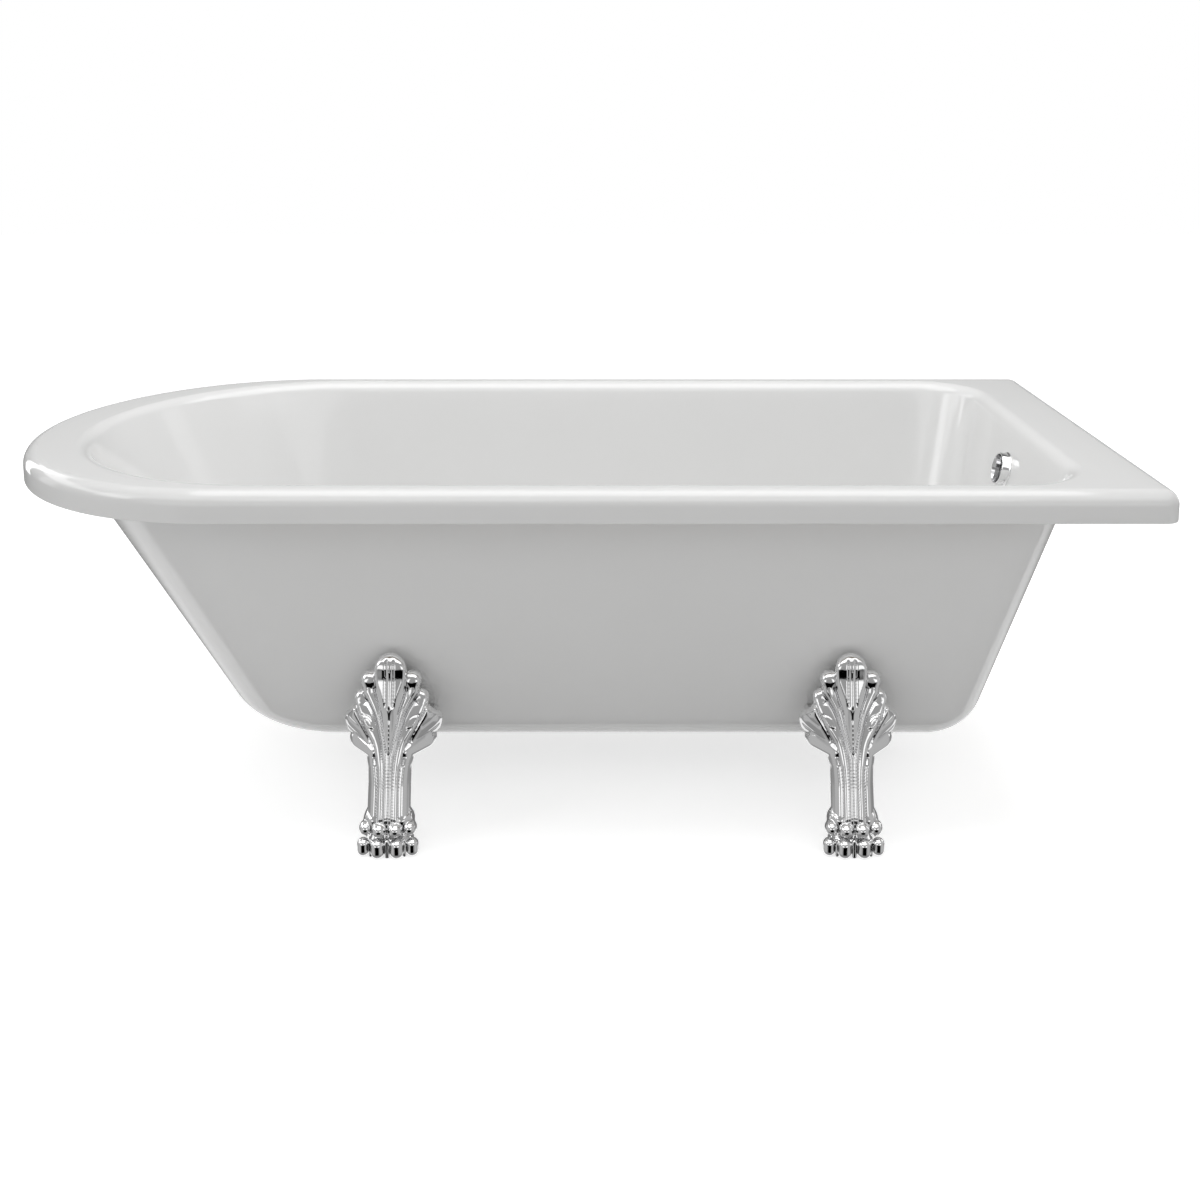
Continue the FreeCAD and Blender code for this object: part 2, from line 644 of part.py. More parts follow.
def overflow_strainer():
    """The perforated plate at the back of the bezel."""
    radius = BEZEL_STEM_RADIUS - BEZEL_WALL - THREAD_CLEARANCE
    plate = cylinder(radius, STRAINER_LEVEL, STRAINER_LEVEL + STRAINER_THICKNESS)
    for i in range(STRAINER_HOLES):
        turn = 2 * math.pi * i / STRAINER_HOLES
        x = STRAINER_HOLE_CIRCLE * math.cos(turn)
        y = STRAINER_HOLE_CIRCLE * math.sin(turn)
        plate = plate.cut(cylinder(STRAINER_HOLE_RADIUS, 0, ELBOW_START, x, y))
    plate = plate.cut(cylinder(OVERFLOW_SCREW_RADIUS + THREAD_CLEARANCE, 0, ELBOW_START))
    return set_on_tap_wall(plate)


def overflow_screw():
    head = cylinder(OVERFLOW_SCREW_HEAD, STRAINER_LEVEL - OVERFLOW_HEAD_HEIGHT, STRAINER_LEVEL)
    shank = cylinder(OVERFLOW_SCREW_RADIUS, STRAINER_LEVEL, STRAINER_LEVEL + OVERFLOW_SCREW_LENGTH)
    return set_on_tap_wall(head.fuse(shank))


def overflow_gasket():
    piece = ring(ELBOW_FLANGE_RADIUS - SEAL_EDGE, OVERFLOW_HOLE_RADIUS, SKIN_OFFSET, ELBOW_START)
    return set_on_tap_wall(piece)


def overflow_elbow():
    """The cup behind the wall, with its screw post and the socket that points down the wall."""
    cup = cylinder(ELBOW_RADIUS, ELBOW_START, ELBOW_END)
    cup = cup.fuse(cylinder(ELBOW_FLANGE_RADIUS, ELBOW_START, ELBOW_START + ELBOW_FLANGE_THICKNESS))
    centre = Vector(0, 0, SKIN_OFFSET + PIPE_STANDOFF)
    reach = ELBOW_FLANGE_RADIUS + SOCKET_LENGTH
    cup = cup.fuse(Part.makeCylinder(SOCKET_RADIUS, reach, centre, ALONG))
    cup = cup.cut(cylinder(ELBOW_RADIUS - ELBOW_WALL, ELBOW_START, ELBOW_END - ELBOW_WALL))
    stop = centre + ALONG * (ELBOW_FLANGE_RADIUS + SOCKET_STOP)
    cup = cup.cut(Part.makeCylinder(PIPE_HOLE, SOCKET_LENGTH, stop, ALONG))
    cup = cup.cut(Part.makeCylinder(PIPE_RADIUS - PIPE_WALL, reach, centre, ALONG))
    post_start = STRAINER_LEVEL + STRAINER_THICKNESS
    post_end = ELBOW_END - ELBOW_WALL / 2
    post = ring(ELBOW_POST_RADIUS, OVERFLOW_SCREW_RADIUS + THREAD_CLEARANCE, post_start, post_end)
    return set_on_tap_wall(cup.fuse(post))


def pipe_line():
    """Start, corner and end of the overflow pipe's middle line, and the way that it falls."""
    wall_normal = Vector(math.cos(TAP_LEAN), 0, -math.sin(TAP_LEAN))
    down = Vector(-math.sin(TAP_LEAN), 0, -math.cos(TAP_LEAN))
    top = overflow_place() + wall_normal * (SKIN_OFFSET + PIPE_STANDOFF)
    start = top + down * (ELBOW_FLANGE_RADIUS + SOCKET_STOP + PIPE_WALL)
    corner = start + down * ((start.z - PIPE_LEVEL) / math.cos(TAP_LEAN))
    end = Vector(WASTE_X + BODY_RADIUS + SOCKET_STOP + PIPE_WALL, 0, PIPE_LEVEL)
    return start, corner, end, down


def overflow_pipe():
    """A rigid pipe that runs down the tap end, bends round the bottom edge and enters the waste tee."""
    start, corner, end, down = pipe_line()
    turn = math.pi / 2 - TAP_LEAN
    setback = PIPE_BEND_RADIUS * math.tan(turn / 2)
    bend_start = corner - down * setback
    bend_end = corner - ALONG * setback
    centre = bend_end + UP * PIPE_BEND_RADIUS
    across = Vector(0, 1, 0)
    pipe = None
    for radius in (PIPE_RADIUS, PIPE_RADIUS - PIPE_WALL):
        fall = Part.makeCylinder(radius, (bend_start - start).Length, start, down)
        section = Part.Face(Part.Wire(Part.makeCircle(radius, bend_start, down)))
        bend = section.revolve(centre, across, math.degrees(turn))
        run = Part.makeCylinder(radius, (end - bend_end).Length, end, ALONG)
        rod = fall.fuse(bend).fuse(run)
        pipe = rod if pipe is None else pipe.cut(rod)
    return pipe


def pipe_nut(pipe_end, along):
    """A compression nut over the mouth of the socket that a pipe's end lies in."""
    nut = hexagon_prism(PIPE_NUT_RADIUS, 0, PIPE_NUT_LENGTH)
    nut = nut.cut(cylinder(SOCKET_RADIUS + THREAD_CLEARANCE, 0, PIPE_NUT_GRIP))
    nut = nut.cut(cylinder(PIPE_HOLE, 0, PIPE_NUT_LENGTH))
    mouth = pipe_end + along * (SOCKET_LENGTH - SOCKET_STOP - PIPE_WALL)
    nut.Placement = FreeCAD.Placement(mouth - along * PIPE_NUT_GRIP, Rotation(UP, along))
    return nut


def overflow_pipe_nut():
    start, _, _, down = pipe_line()
    return pipe_nut(start, down)


def waste_pipe_nut():
    _, _, end, _ = pipe_line()
    return pipe_nut(end, ALONG)


# ---- Claw feet, drawn on the +Y side at X = 0 ----
# How far the front lies behind the rim's face, half width, and how far the edges fold back, by height
CROWN_SECTIONS = (
    (UNDERSIDE_HEIGHT + 180.0, 112.0, 7.0, 4.0),
    (UNDERSIDE_HEIGHT + 161.0, 108.0, 22.0, 9.0),
    (UNDERSIDE_HEIGHT + 137.0, 102.0, 40.0, 22.0),
    (UNDERSIDE_HEIGHT + 104.0, 95.0, 57.0, 40.0),
    (UNDERSIDE_HEIGHT + 79.0, 91.0, 68.0, 52.0),
    (UNDERSIDE_HEIGHT + 57.0, 88.0, 56.0, 44.0),
    (UNDERSIDE_HEIGHT + 35.0, 80.0, 31.0, 20.0),
    (UNDERSIDE_HEIGHT - 5.0, 68.0, 28.0, 16.0),
    (PAW_HEIGHT + SHAFT_FLARE, 57.0, 29.0, 16.0),
    (PAW_HEIGHT - SHAFT_FLARE, 54.0, 32.0, 18.0),
)
# Petals of the crown: sideways reach, height of the tip, radius at the tip
PETALS = (
    (0.0, UNDERSIDE_HEIGHT + 165.0, 13.0),
    (33.0, UNDERSIDE_HEIGHT + 139.0, 11.0),
    (46.0, UNDERSIDE_HEIGHT + 112.0, 11.0),
    (60.0, UNDERSIDE_HEIGHT + 83.0, 12.0),
    (43.0, UNDERSIDE_HEIGHT + 57.0, 8.5),
)
# A toe's outline from the sole up: height and radius
TOE_PROFILE = ((0.0, 9.0), (7.0, 12.0), (19.0, 12.0), (27.0, 8.6), (36.0, 11.6), (46.0, 10.4), (PAW_HEIGHT, 6.0))


def crown_at(height):
    """Front, half width and fold of the casting at one height, between the sections."""
    for upper, lower in zip(CROWN_SECTIONS, CROWN_SECTIONS[1:]):
        if height >= lower[0]:
            share = (height - lower[0]) / (upper[0] - lower[0])
            return [low + (high - low) * share for low, high in zip(lower[1:], upper[1:])]
    return list(CROWN_SECTIONS[-1][1:])


def crown_section(height, wall):
    """A section of the casting, or of its hollow: a blunt point in front, straight cheeks and a flat back."""
    front, half, fold = crown_at(height)
    reach = BATH_WIDTH / 2 - front - wall
    half = half - wall
    edge = min(reach - 1.0, BATH_WIDTH / 2 - front - fold)
    shoulder = reach - (reach - edge) * SHOULDER_FOLD
    back = BATH_WIDTH / 2 - front - SHAFT_DEPTH
    if height > LEAF_ROOT_HEIGHT:
        back = OUTER_FORM.half_width(RIM_HEIGHT - height) - SADDLE_DEPTH
    back = back - wall
    return [
        Vector(-half, back, height),
        Vector(half, back, height),
        Vector(half, edge, height),
        Vector(half * SHOULDER_WIDTH, shoulder, height),
        Vector(-half * SHOULDER_WIDTH, shoulder, height),
        Vector(-half, edge, height),
    ]


def stacked(sections):
    """A solid through flat sections with as many corners each, joined by flat triangles."""
    faces = [Part.Face(Part.makePolygon(section + section[:1])) for section in (sections[0], sections[-1])]
    for upper, lower in zip(sections, sections[1:]):
        for i in range(len(upper)):
            j = (i + 1) % len(upper)
            for corners in ([upper[i], upper[j], lower[j]], [upper[i], lower[j], lower[i]]):
                faces.append(Part.Face(Part.makePolygon(corners + corners[:1])))
    solid = Part.makeSolid(Part.makeShell(faces))
    if solid.Volume < 0:
        solid.reverse()
    return solid


def petal(reach, height, radius):
    """One lobe of the crown: many-sided, it opens from the leaf's root and closes to a blunt tip."""
    root_front = crown_at(LEAF_ROOT_HEIGHT)[0]
    front, half, fold = crown_at(height)
    root = Vector(0, BATH_WIDTH / 2 - root_front - LEAF_ROOT_RADIUS, LEAF_ROOT_HEIGHT)
    surface = BATH_WIDTH / 2 - front - fold * (reach / half) ** 2
    tip = Vector(reach, surface - PETAL_SINK * radius, height)
    along = tip - root
    length = along.Length
    rings = [(0.0, LEAF_ROOT_RADIUS), (length, radius), (length + PETAL_CLOSING * radius, PETAL_SINK * radius)]
    sections = []
    for distance, size in rings:
        turns = [2 * math.pi * (i + 0.5) / PETAL_SIDES for i in range(PETAL_SIDES)]
        sections.append([Vector(size * math.cos(turn), size * math.sin(turn), distance) for turn in turns])
    lobe = stacked(sections)
    lobe.Placement = FreeCAD.Placement(root, Rotation(UP, along))
    return lobe


def paw():
    """Four turned toes, the outer two set back, on a block that narrows with them."""
    front = BATH_WIDTH / 2 - TOE_SETBACK - TOE_RADIUS
    outer = TOE_PITCH * (TOE_COUNT - 1) / 2
    sections = []
    for height, radius in TOE_PROFILE:
        side = outer + radius - TOE_SIDE_STEP
        heel = front - PAW_DEPTH - radius
        sections.append(
            [
                Vector(-side, heel, height),
                Vector(side, heel, height),
                Vector(side, front - TOE_SWEEP, height),
                Vector(TOE_PITCH / 2, front, height),
                Vector(-TOE_PITCH / 2, front, height),
                Vector(-side, front - TOE_SWEEP, height),
            ]
        )
    block = stacked(sections)
    profile = [(0, 0)] + [(radius, height) for height, radius in TOE_PROFILE] + [(0, PAW_HEIGHT)]
    for i in range(TOE_COUNT):
        is_outer = i in (0, TOE_COUNT - 1)
        toe = turned(profile)
        toe.translate(Vector(TOE_PITCH * i - outer, front - (TOE_SWEEP if is_outer else 0.0), 0))
        block = block.fuse(toe)
    return block


def saddle():
    """The bath's straight side and its bottom round, as a bar that the casting is cut to."""
    form = OUTER_FORM.grown(FOOT_SADDLE_GAP)
    floor = RIM_HEIGHT - form.depth
    flat = form.flat_half_width()
    centre_height = floor + form.bottom_round
    middle = (math.pi / 2 - SIDE_LEAN) / 2
    touch = Vector(
        0,
        flat + form.bottom_round * math.cos(SIDE_LEAN),
        centre_height - form.bottom_round * math.sin(SIDE_LEAN),
    )
    halfway = Vector(
        0,
        flat + form.bottom_round * math.sin(middle),
        centre_height - form.bottom_round * math.cos(middle),
    )
    start = Vector(0, flat, floor)
    top = Vector(0, form.half_width(0.0), RIM_HEIGHT)
    edges = [
        Part.Arc(start, halfway, touch),
        Part.LineSegment(touch, top),
        Part.LineSegment(top, Vector(0, 0, RIM_HEIGHT)),
        Part.LineSegment(Vector(0, 0, RIM_HEIGHT), Vector(0, 0, floor)),
        Part.LineSegment(Vector(0, 0, floor), start),
    ]
    face = Part.Face(Part.Wire([edge.toShape() for edge in edges]))
    face.translate(Vector(-BATH_WIDTH / 2, 0, 0))
    return face.extrude(Vector(BATH_WIDTH, 0, 0))


def claw_foot():
    """The casting: a hollow leafed crown that hugs the bath, a shaft with the bracket's seat, and the paw."""
    casting = stacked([crown_section(section[0], 0.0) for section in CROWN_SECTIONS])
    for reach, height, radius in PETALS:
        casting = casting.fuse(petal(reach, height, radius))
        if reach > 0:
            casting = casting.fuse(petal(-reach, height, radius))
    casting = casting.fuse(paw())
    hollow_heights = [section[0] for section in CROWN_SECTIONS[1:] if section[0] > BRACKET_SEAT + 1.0]
    hollow = stacked([crown_section(height, FOOT_WALL) for height in hollow_heights + [BRACKET_SEAT]])
    casting = casting.cut(hollow)
    casting = casting.cut(saddle())
    tapped = FOOT_BOLT_RADIUS + THREAD_CLEARANCE
    casting = casting.cut(cylinder(tapped, BRACKET_SEAT - FOOT_BOLT_DEPTH, BRACKET_SEAT, 0, FOOT_BOLT_REACH))
    casting = casting.cut(cylinder(PAD_RADIUS + PAD_CLEARANCE, 0, POCKET_TOP, 0, LEVELLER_REACH))
    bush_hole = BUSH_RADIUS + DRIVEN_CLEARANCE
    casting = casting.cut(cylinder(bush_hole, POCKET_TOP, POCKET_TOP + BUSH_LENGTH, 0, LEVELLER_REACH))
    stud_top = STUD_BOTTOM + LEVELLER_LENGTH + LEVELLER_HEADROOM
    return casting.cut(cylinder(LEVELLER_RADIUS + BOLT_CLEARANCE, POCKET_TOP, stud_top, 0, LEVELLER_REACH))


def leveller_bush():
    """The threaded bush in the paw."""
    top = POCKET_TOP + BUSH_LENGTH
    return ring(BUSH_RADIUS, LEVELLER_RADIUS + THREAD_CLEARANCE, POCKET_TOP, top, 0, LEVELLER_REACH)


def leveller_stud():
    return cylinder(LEVELLER_RADIUS, STUD_BOTTOM, STUD_BOTTOM + LEVELLER_LENGTH, 0, LEVELLER_REACH)


def leveller_pad():
    """The pad under the stud, with the socket that the stud turns in."""
    top = PAD_RECESS + PAD_THICKNESS
    pad = cylinder(PAD_RADIUS, PAD_RECESS, top, 0, LEVELLER_REACH)
    return pad.cut(cylinder(LEVELLER_RADIUS + SPINDLE_CLEARANCE, STUD_BOTTOM, top, 0, LEVELLER_REACH))


# ---- Brackets and fixings, also drawn on the +Y side at X = 0 ----
def foot_bracket():
    """The flat steel strap under the base, from the board's screws out to the seat in the casting."""
    corner = Vector(-BRACKET_WIDTH / 2, BRACKET_INNER, BRACKET_SEAT)
    strap = Part.makeBox(BRACKET_WIDTH, BRACKET_LENGTH, BRACKET_THICKNESS, corner)
    for reach in BASE_SCREW_REACHES:
        strap = strap.cut(cylinder(BASE_SCREW_RADIUS + BOLT_CLEARANCE, 0, RIM_HEIGHT, 0, reach))
    return strap.cut(cylinder(FOOT_BOLT_RADIUS + BOLT_CLEARANCE, 0, RIM_HEIGHT, 0, FOOT_BOLT_REACH))


def base_screw(reach):
    """A coach screw with a flange under its hexagon head, driven up into the base board."""
    flange_bottom = BRACKET_SEAT - SCREW_FLANGE_THICKNESS
    screw = hexagon_prism(BASE_HEAD_RADIUS, flange_bottom - BASE_HEAD_HEIGHT, flange_bottom, reach)
    screw = screw.fuse(cylinder(SCREW_FLANGE_RADIUS, flange_bottom, BRACKET_SEAT, 0, reach))
    return screw.fuse(cylinder(BASE_SCREW_RADIUS, BRACKET_SEAT, BRACKET_SEAT + BASE_SCREW_LENGTH, 0, reach))


def foot_bolt():
    """The bolt that holds the strap down on the casting, with its head on the strap."""
    strap_top = BRACKET_SEAT + BRACKET_THICKNESS
    head = hexagon_prism(FOOT_HEAD_RADIUS, strap_top, strap_top + FOOT_HEAD_HEIGHT, FOOT_BOLT_REACH)
    bottom = BRACKET_SEAT - FOOT_BOLT_DEPTH + BOLT_CLEARANCE
    return head.fuse(cylinder(FOOT_BOLT_RADIUS, bottom, strap_top, 0, FOOT_BOLT_REACH))


def base_screw_places():
    return [(x, side * reach) for x in FOOT_X for side in (-1, 1) for reach in BASE_SCREW_REACHES]


CORNERS = {
    "front_back_rest": (FOOT_X[0], -1),
    "rear_back_rest": (FOOT_X[0], 1),
    "front_tap_end": (FOOT_X[1], -1),
    "rear_tap_end": (FOOT_X[1], 1),
}


def at_corner(piece, corner):
    """A copy of a piece, turned to face its side of the bath and moved to its foot."""
    x, side = CORNERS[corner]
    placed = piece.copy()
    if side < 0:
        placed.rotate(Vector(0, 0, 0), UP, 180)
    placed.translate(Vector(x, 0, 0))
    return placed


def at_all_corners(pieces):
    return Part.makeCompound([at_corner(piece, corner) for corner in CORNERS for piece in pieces])


def all_pieces():
    """Every node's name and shape."""
    pieces = {
        "bath_inner_shell": inner_shell(),
        "bath_outer_shell": outer_shell(),
        "base_board": base_board(),
        "tap_ledge_board": tap_ledge_board(),
        "front_rim_batten": rim_batten(-1),
        "rear_rim_batten": rim_batten(1),
        "waste_flange": waste_flange(),
        "waste_flange_seal": waste_flange_seal(),
        "waste_body_seal": waste_body_seal(),
        "waste_body": waste_body(),
        "plug_cartridge": plug_cartridge(),
        "plug_cap": plug_cap(),
        "plug_seal": plug_seal(),
        "plug_spindle": plug_spindle(),
        "overflow_bezel": overflow_bezel(),
        "overflow_strainer": overflow_strainer(),
        "overflow_screw": overflow_screw(),
        "overflow_gasket": overflow_gasket(),
        "overflow_elbow": overflow_elbow(),
        "overflow_pipe": overflow_pipe(),
        "overflow_pipe_nut": overflow_pipe_nut(),
        "waste_pipe_nut": waste_pipe_nut(),
        "base_screws": at_all_corners([base_screw(reach) for reach in BASE_SCREW_REACHES]),
        "foot_bolts": at_all_corners([foot_bolt()]),
        "leveller_bushes": at_all_corners([leveller_bush()]),
    }
    casting = claw_foot()
    bracket = foot_bracket()
    stud = leveller_stud()
    pad = leveller_pad()
    for corner in CORNERS:
        pieces["claw_foot_" + corner] = at_corner(casting, corner)
        pieces["foot_bracket_" + corner] = at_corner(bracket, corner)
        pieces["leveller_stud_" + corner] = at_corner(stud, corner)
        pieces["leveller_pad_" + corner] = at_corner(pad, corner)
    return pieces


os.makedirs("parts", exist_ok=True)
for node, shape in all_pieces().items():
    shape.exportStep("parts/" + node + ".step")
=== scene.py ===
import json
import math

import bmesh
import bpy
import numpy as np
from mathutils import Matrix, Vector


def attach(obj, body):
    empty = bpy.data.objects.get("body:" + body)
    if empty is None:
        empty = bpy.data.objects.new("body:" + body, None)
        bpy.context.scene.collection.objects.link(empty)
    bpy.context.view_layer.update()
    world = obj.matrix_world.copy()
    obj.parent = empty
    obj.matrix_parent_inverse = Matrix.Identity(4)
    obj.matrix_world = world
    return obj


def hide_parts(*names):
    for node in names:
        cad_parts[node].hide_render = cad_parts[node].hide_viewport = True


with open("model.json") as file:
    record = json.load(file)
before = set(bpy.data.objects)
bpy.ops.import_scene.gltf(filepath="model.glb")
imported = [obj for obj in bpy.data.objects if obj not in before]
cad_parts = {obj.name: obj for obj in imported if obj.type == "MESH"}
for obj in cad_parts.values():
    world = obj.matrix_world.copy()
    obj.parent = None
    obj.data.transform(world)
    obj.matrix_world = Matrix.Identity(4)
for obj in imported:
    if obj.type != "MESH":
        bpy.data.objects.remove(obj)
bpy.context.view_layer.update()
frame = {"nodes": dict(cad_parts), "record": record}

# ---- Sizes, in millimetres, as the bath's maker would list them ----
LENGTH = 1700.0
WIDTH = 750.0
RIM_HEIGHT = 560.0
SIDE_LEAN = math.radians(18.0)
BACK_LEAN = math.radians(30.0)
TAP_LEAN = math.radians(12.6)
CONE_TILT = math.radians(12.4395)
UNDERSIDE = 101.0
CAVITY_FLOOR = 128.7
INNER_SKIN = 5.5
OUTER_SKIN = 4.2
SKIN_OFFSET = 10.0
BACKREST_HOLLOW = 18.0
OUTER_SKIN_TOP = 530.0
RIM_DEPTH = 44.0
RIM_ROUND = 21.0
RIM_CORNER = 22.0
MOUTH_ROUND = 25.0
OVERFLOW_DROP = 76.0
WASTE_X = 525.0
SIDE_INSET = 38.7
BACK_INSET = 59.4
TAP_INSET = 102.2
WASTE_HOLE_RADIUS = 23.7
OVERFLOW_HOLE_RADIUS = 25.5
APRON_EDGE_ROUND = 1.6
APRON_INNER_ROUND = 1.0
METRE = 0.001

SHARP_ANGLE = math.radians(35.0)
FOOT_SHARP_ANGLE = math.radians(75.0)
CARRIED_SHARP_ANGLE = math.radians(28.0)
WHITE = (1, 1, 1, 1)
# Places of a colour's sockets on a Mix node
COLOUR_A, COLOUR_B, COLOUR_RESULT = 6, 7, 2


# ---- Shader writing ----
class Signal:
    """A number that varies over a surface. Arithmetic on it adds Math nodes."""

    def __init__(self, recipe, socket):
        self.recipe = recipe
        self.socket = socket

    @staticmethod
    def math(operation, *values):
        recipe = next(value.recipe for value in values if isinstance(value, Signal))
        node = recipe.add("ShaderNodeMath", {"operation": operation}, dict(enumerate(values)))
        return Signal(recipe, node.outputs[0])

    def __add__(self, other):
        return self.math("ADD", self, other)

    def __sub__(self, other):
        return self.math("SUBTRACT", self, other)

    def __rsub__(self, other):
        return self.math("SUBTRACT", other, self)

    def __mul__(self, other):
        return self.math("MULTIPLY", self, other)

    def __truediv__(self, other):
        return self.math("DIVIDE", self, other)


class Recipe:
    """The node tree of one finish."""

    def __init__(self, tree):
        self.tree = tree
        tree.nodes.clear()

    def add(self, kind, settings=None, inputs=None):
        node = self.tree.nodes.new(kind)
        for name, value in (settings or {}).items():
            setattr(node, name, value)
        for name, value in (inputs or {}).items():
            self.feed(node.inputs[name], value)
        return node

    def feed(self, socket, value):
        if isinstance(value, Signal):
            value = value.socket
        if isinstance(value, bpy.types.NodeSocket):
            self.tree.links.new(value, socket)
        else:
            socket.default_value = value

    def place(self, scale=1.0):
        """Object coordinates, stretched by scale."""
        coordinates = self.add("ShaderNodeTexCoord").outputs["Object"]
        stretch = (scale,) * 3 if isinstance(scale, (int, float)) else scale
        return self.add("ShaderNodeMapping", {}, {"Vector": coordinates, "Scale": stretch}).outputs[0]

    def noise(self, scale, detail=3.0, roughness=0.5, stretch=1.0):
        settings = {"noise_dimensions": "3D"}
        values = {"Vector": self.place(stretch), "Scale": scale, "Detail": detail, "Roughness": roughness}
        return Signal(self, self.add("ShaderNodeTexNoise", settings, values).outputs["Fac"])

    def cells(self, scale):
        node = self.add("ShaderNodeTexVoronoi", {}, {"Vector": self.place(), "Scale": scale})
        return Signal(self, node.outputs["Distance"])

    def between(self, factor, low, high):
        """A number that runs from low to high as factor runs from 0 to 1."""
        return factor * (high - low) + low

    def tint(self, factor, first, second):
        """A colour between two, each of them three numbers or a socket."""
        node = self.add("ShaderNodeMix", {"data_type": "RGBA"}, {"Factor": factor})
        for place, colour in ((COLOUR_A, first), (COLOUR_B, second)):
            is_socket = isinstance(colour, bpy.types.NodeSocket)
            self.feed(node.inputs[place], colour if is_socket else (*colour, 1.0))
        return node.outputs[COLOUR_RESULT]

    def attribute(self, name):
        return Signal(self, self.add("ShaderNodeAttribute", {"attribute_name": name}).outputs["Fac"])

    def bump(self, height, distance, strength=1.0):
        inputs = {"Height": height, "Distance": distance, "Strength": strength}
        return self.add("ShaderNodeBump", {}, inputs).outputs[0]

    def shine(self, kind, strength):
        """A white emission or background shader."""
        return self.add(kind, {}, {"Color": WHITE, "Strength": strength}).outputs[0]

    def blend(self, factor, first, second):
        """A shader that turns from first to second as factor runs from 0 to 1."""
        return self.add("ShaderNodeMixShader", {}, {0: factor, 1: first, 2: second}).outputs[0]

    def finish(self, **values):
        """The shader: keyword names are socket names with _ for a space."""
        inputs = {name.replace("_", " "): value for name, value in values.items()}
        shader = self.add("ShaderNodeBsdfPrincipled", {}, inputs)
        self.add("ShaderNodeOutputMaterial", {}, {"Surface": shader.outputs[0]})


def new_finish(name):
    material = bpy.data.materials.new(name)
    material.use_nodes = True
    return material, Recipe(material.node_tree)


def gloss_acrylic():
    material, recipe = new_finish("white_gloss_acrylic")
    cloud = recipe.noise(5.0, 2.0)
    smear = recipe.noise(14.0, 4.0, 0.6)
    peel = recipe.noise(170.0, 1.0)
    recipe.finish(
        Base_Color=recipe.tint(cloud, (0.725, 0.725, 0.72), (0.75, 0.75, 0.745)),
        Roughness=recipe.between(smear, 0.035, 0.075),
        IOR=1.49,
        Normal=recipe.bump(peel, 0.00002, 0.6),
    )
    return material


def polished_chrome(name, wave, paint_hollow_shade=False, shine=0.86):
    """Bright plate over a casting or a turned piece, whose surface waves a little. If asked, the colour is
    darkened by a point attribute, as painted shade in hollows and recesses; a lower shine gives a darker copy
    of the chrome, as painted shade.
    """
    material, recipe = new_finish(name)
    film = recipe.noise(60.0, 4.0, 0.6)
    ripple = recipe.noise(45.0, 2.0)
    colour = recipe.tint(film, (shine - 0.06, shine - 0.06, shine - 0.055), (shine, shine, shine))
    if paint_hollow_shade:
        # Painted shade: darker colour where the point attribute marks hollows and recesses
        colour = recipe.tint(recipe.attribute("painted_hollow_shade"), colour, (0.24, 0.24, 0.25))
    recipe.finish(
        Base_Color=colour,
        Metallic=1.0,
        Roughness=recipe.between(film, 0.05, 0.11),
        Normal=recipe.bump(ripple, wave),
    )
    return material


def zinc_steel():
    material, recipe = new_finish("zinc_plated_steel")
    spangle = recipe.cells(260.0)
    cloud = recipe.noise(30.0, 5.0, 0.6)
    recipe.finish(
        Base_Color=recipe.tint(cloud, (0.50, 0.51, 0.52), (0.64, 0.64, 0.63)),
        Metallic=1.0,
        Roughness=recipe.between(spangle, 0.25, 0.5),
        Normal=recipe.bump(cloud, 0.00005),
    )
    return material


def turned_brass():
    material, recipe = new_finish("turned_brass")
    rings = recipe.noise(600.0, 2.0, 0.5, (0.05, 0.05, 4.0))
    recipe.finish(
        Base_Color=recipe.tint(rings, (0.66, 0.47, 0.2), (0.8, 0.62, 0.32)),
        Metallic=1.0,
        Roughness=recipe.between(rings, 0.2, 0.38),
        Normal=recipe.bump(rings, 0.00002),
    )
    return material


def moulded(name, scale, detail, dark, pale, roughness, wave):
    material, recipe = new_finish(name)
    grain = recipe.noise(scale, detail)
    recipe.finish(
        Base_Color=recipe.tint(grain, dark, pale),
        Roughness=recipe.between(grain, *roughness),
        Normal=recipe.bump(grain, wave),
    )
    return material


def chipboard():
    material, recipe = new_finish("raw_chipboard")
    flakes = recipe.cells(330.0)
    dust = recipe.noise(120.0, 6.0, 0.7)
    recipe.finish(
        Base_Color=recipe.tint(flakes * 1.4 * dust, (0.30, 0.2, 0.11), (0.62, 0.48, 0.3)),
        Roughness=recipe.between(dust, 0.75, 0.95),
        Normal=recipe.bump(flakes, 0.0003),
    )
    return material


FINISHES = {
    "white_acrylic": gloss_acrylic(),
    "chrome": polished_chrome("polished_chrome", 0.00002),
    # Chrome with painted shade in its hollows and recesses
    "cast_chrome_painted_shade": polished_chrome("cast_chrome_painted_shade", 0.00012, paint_hollow_shade=True),
    # A darker copy of the chrome, as painted shade for the strainer in its recess
    "painted_shade_chrome": polished_chrome("painted_shade_chrome", 0.00002, shine=0.62),
    "steel": zinc_steel(),
    "brass": turned_brass(),
    "rubber": moulded(
        "black_rubber", 900.0, 3.0, (0.018, 0.018, 0.019), (0.035, 0.035, 0.036), (0.6, 0.8), 0.00005
    ),
    "nylon": moulded(
        "black_nylon", 500.0, 2.0, (0.025, 0.025, 0.027), (0.045, 0.045, 0.047), (0.35, 0.5), 0.00004
    ),
    "board": chipboard(),
}


# ---- Mesh helpers ----
def shade(mesh, sharp_angle):
    """Smooth shading, but for edges sharper than an angle."""
    mesh.polygons.foreach_set("use_smooth", [True] * len(mesh.polygons))
    mesh.set_sharp_from_angle(angle=sharp_angle)


def put_in_scene(name, data):
    made = bpy.data.objects.new(name, data)
    bpy.context.scene.collection.objects.link(made)
    return made


def piece(name, points, faces, slot, finish=None, crease=SHARP_ANGLE):
    """A mesh piece from points in millimetres, smooth but for its sharp edges."""
    mesh = bpy.data.meshes.new(name)
    corners = [tuple(point) for point in np.asarray(points, float) * METRE]
    mesh.from_pydata(corners, [], [list(map(int, face)) for face in faces])
    shade(mesh, crease)
    mesh.materials.append(FINISHES[finish or slot])
    made = put_in_scene(name, mesh)
    return made


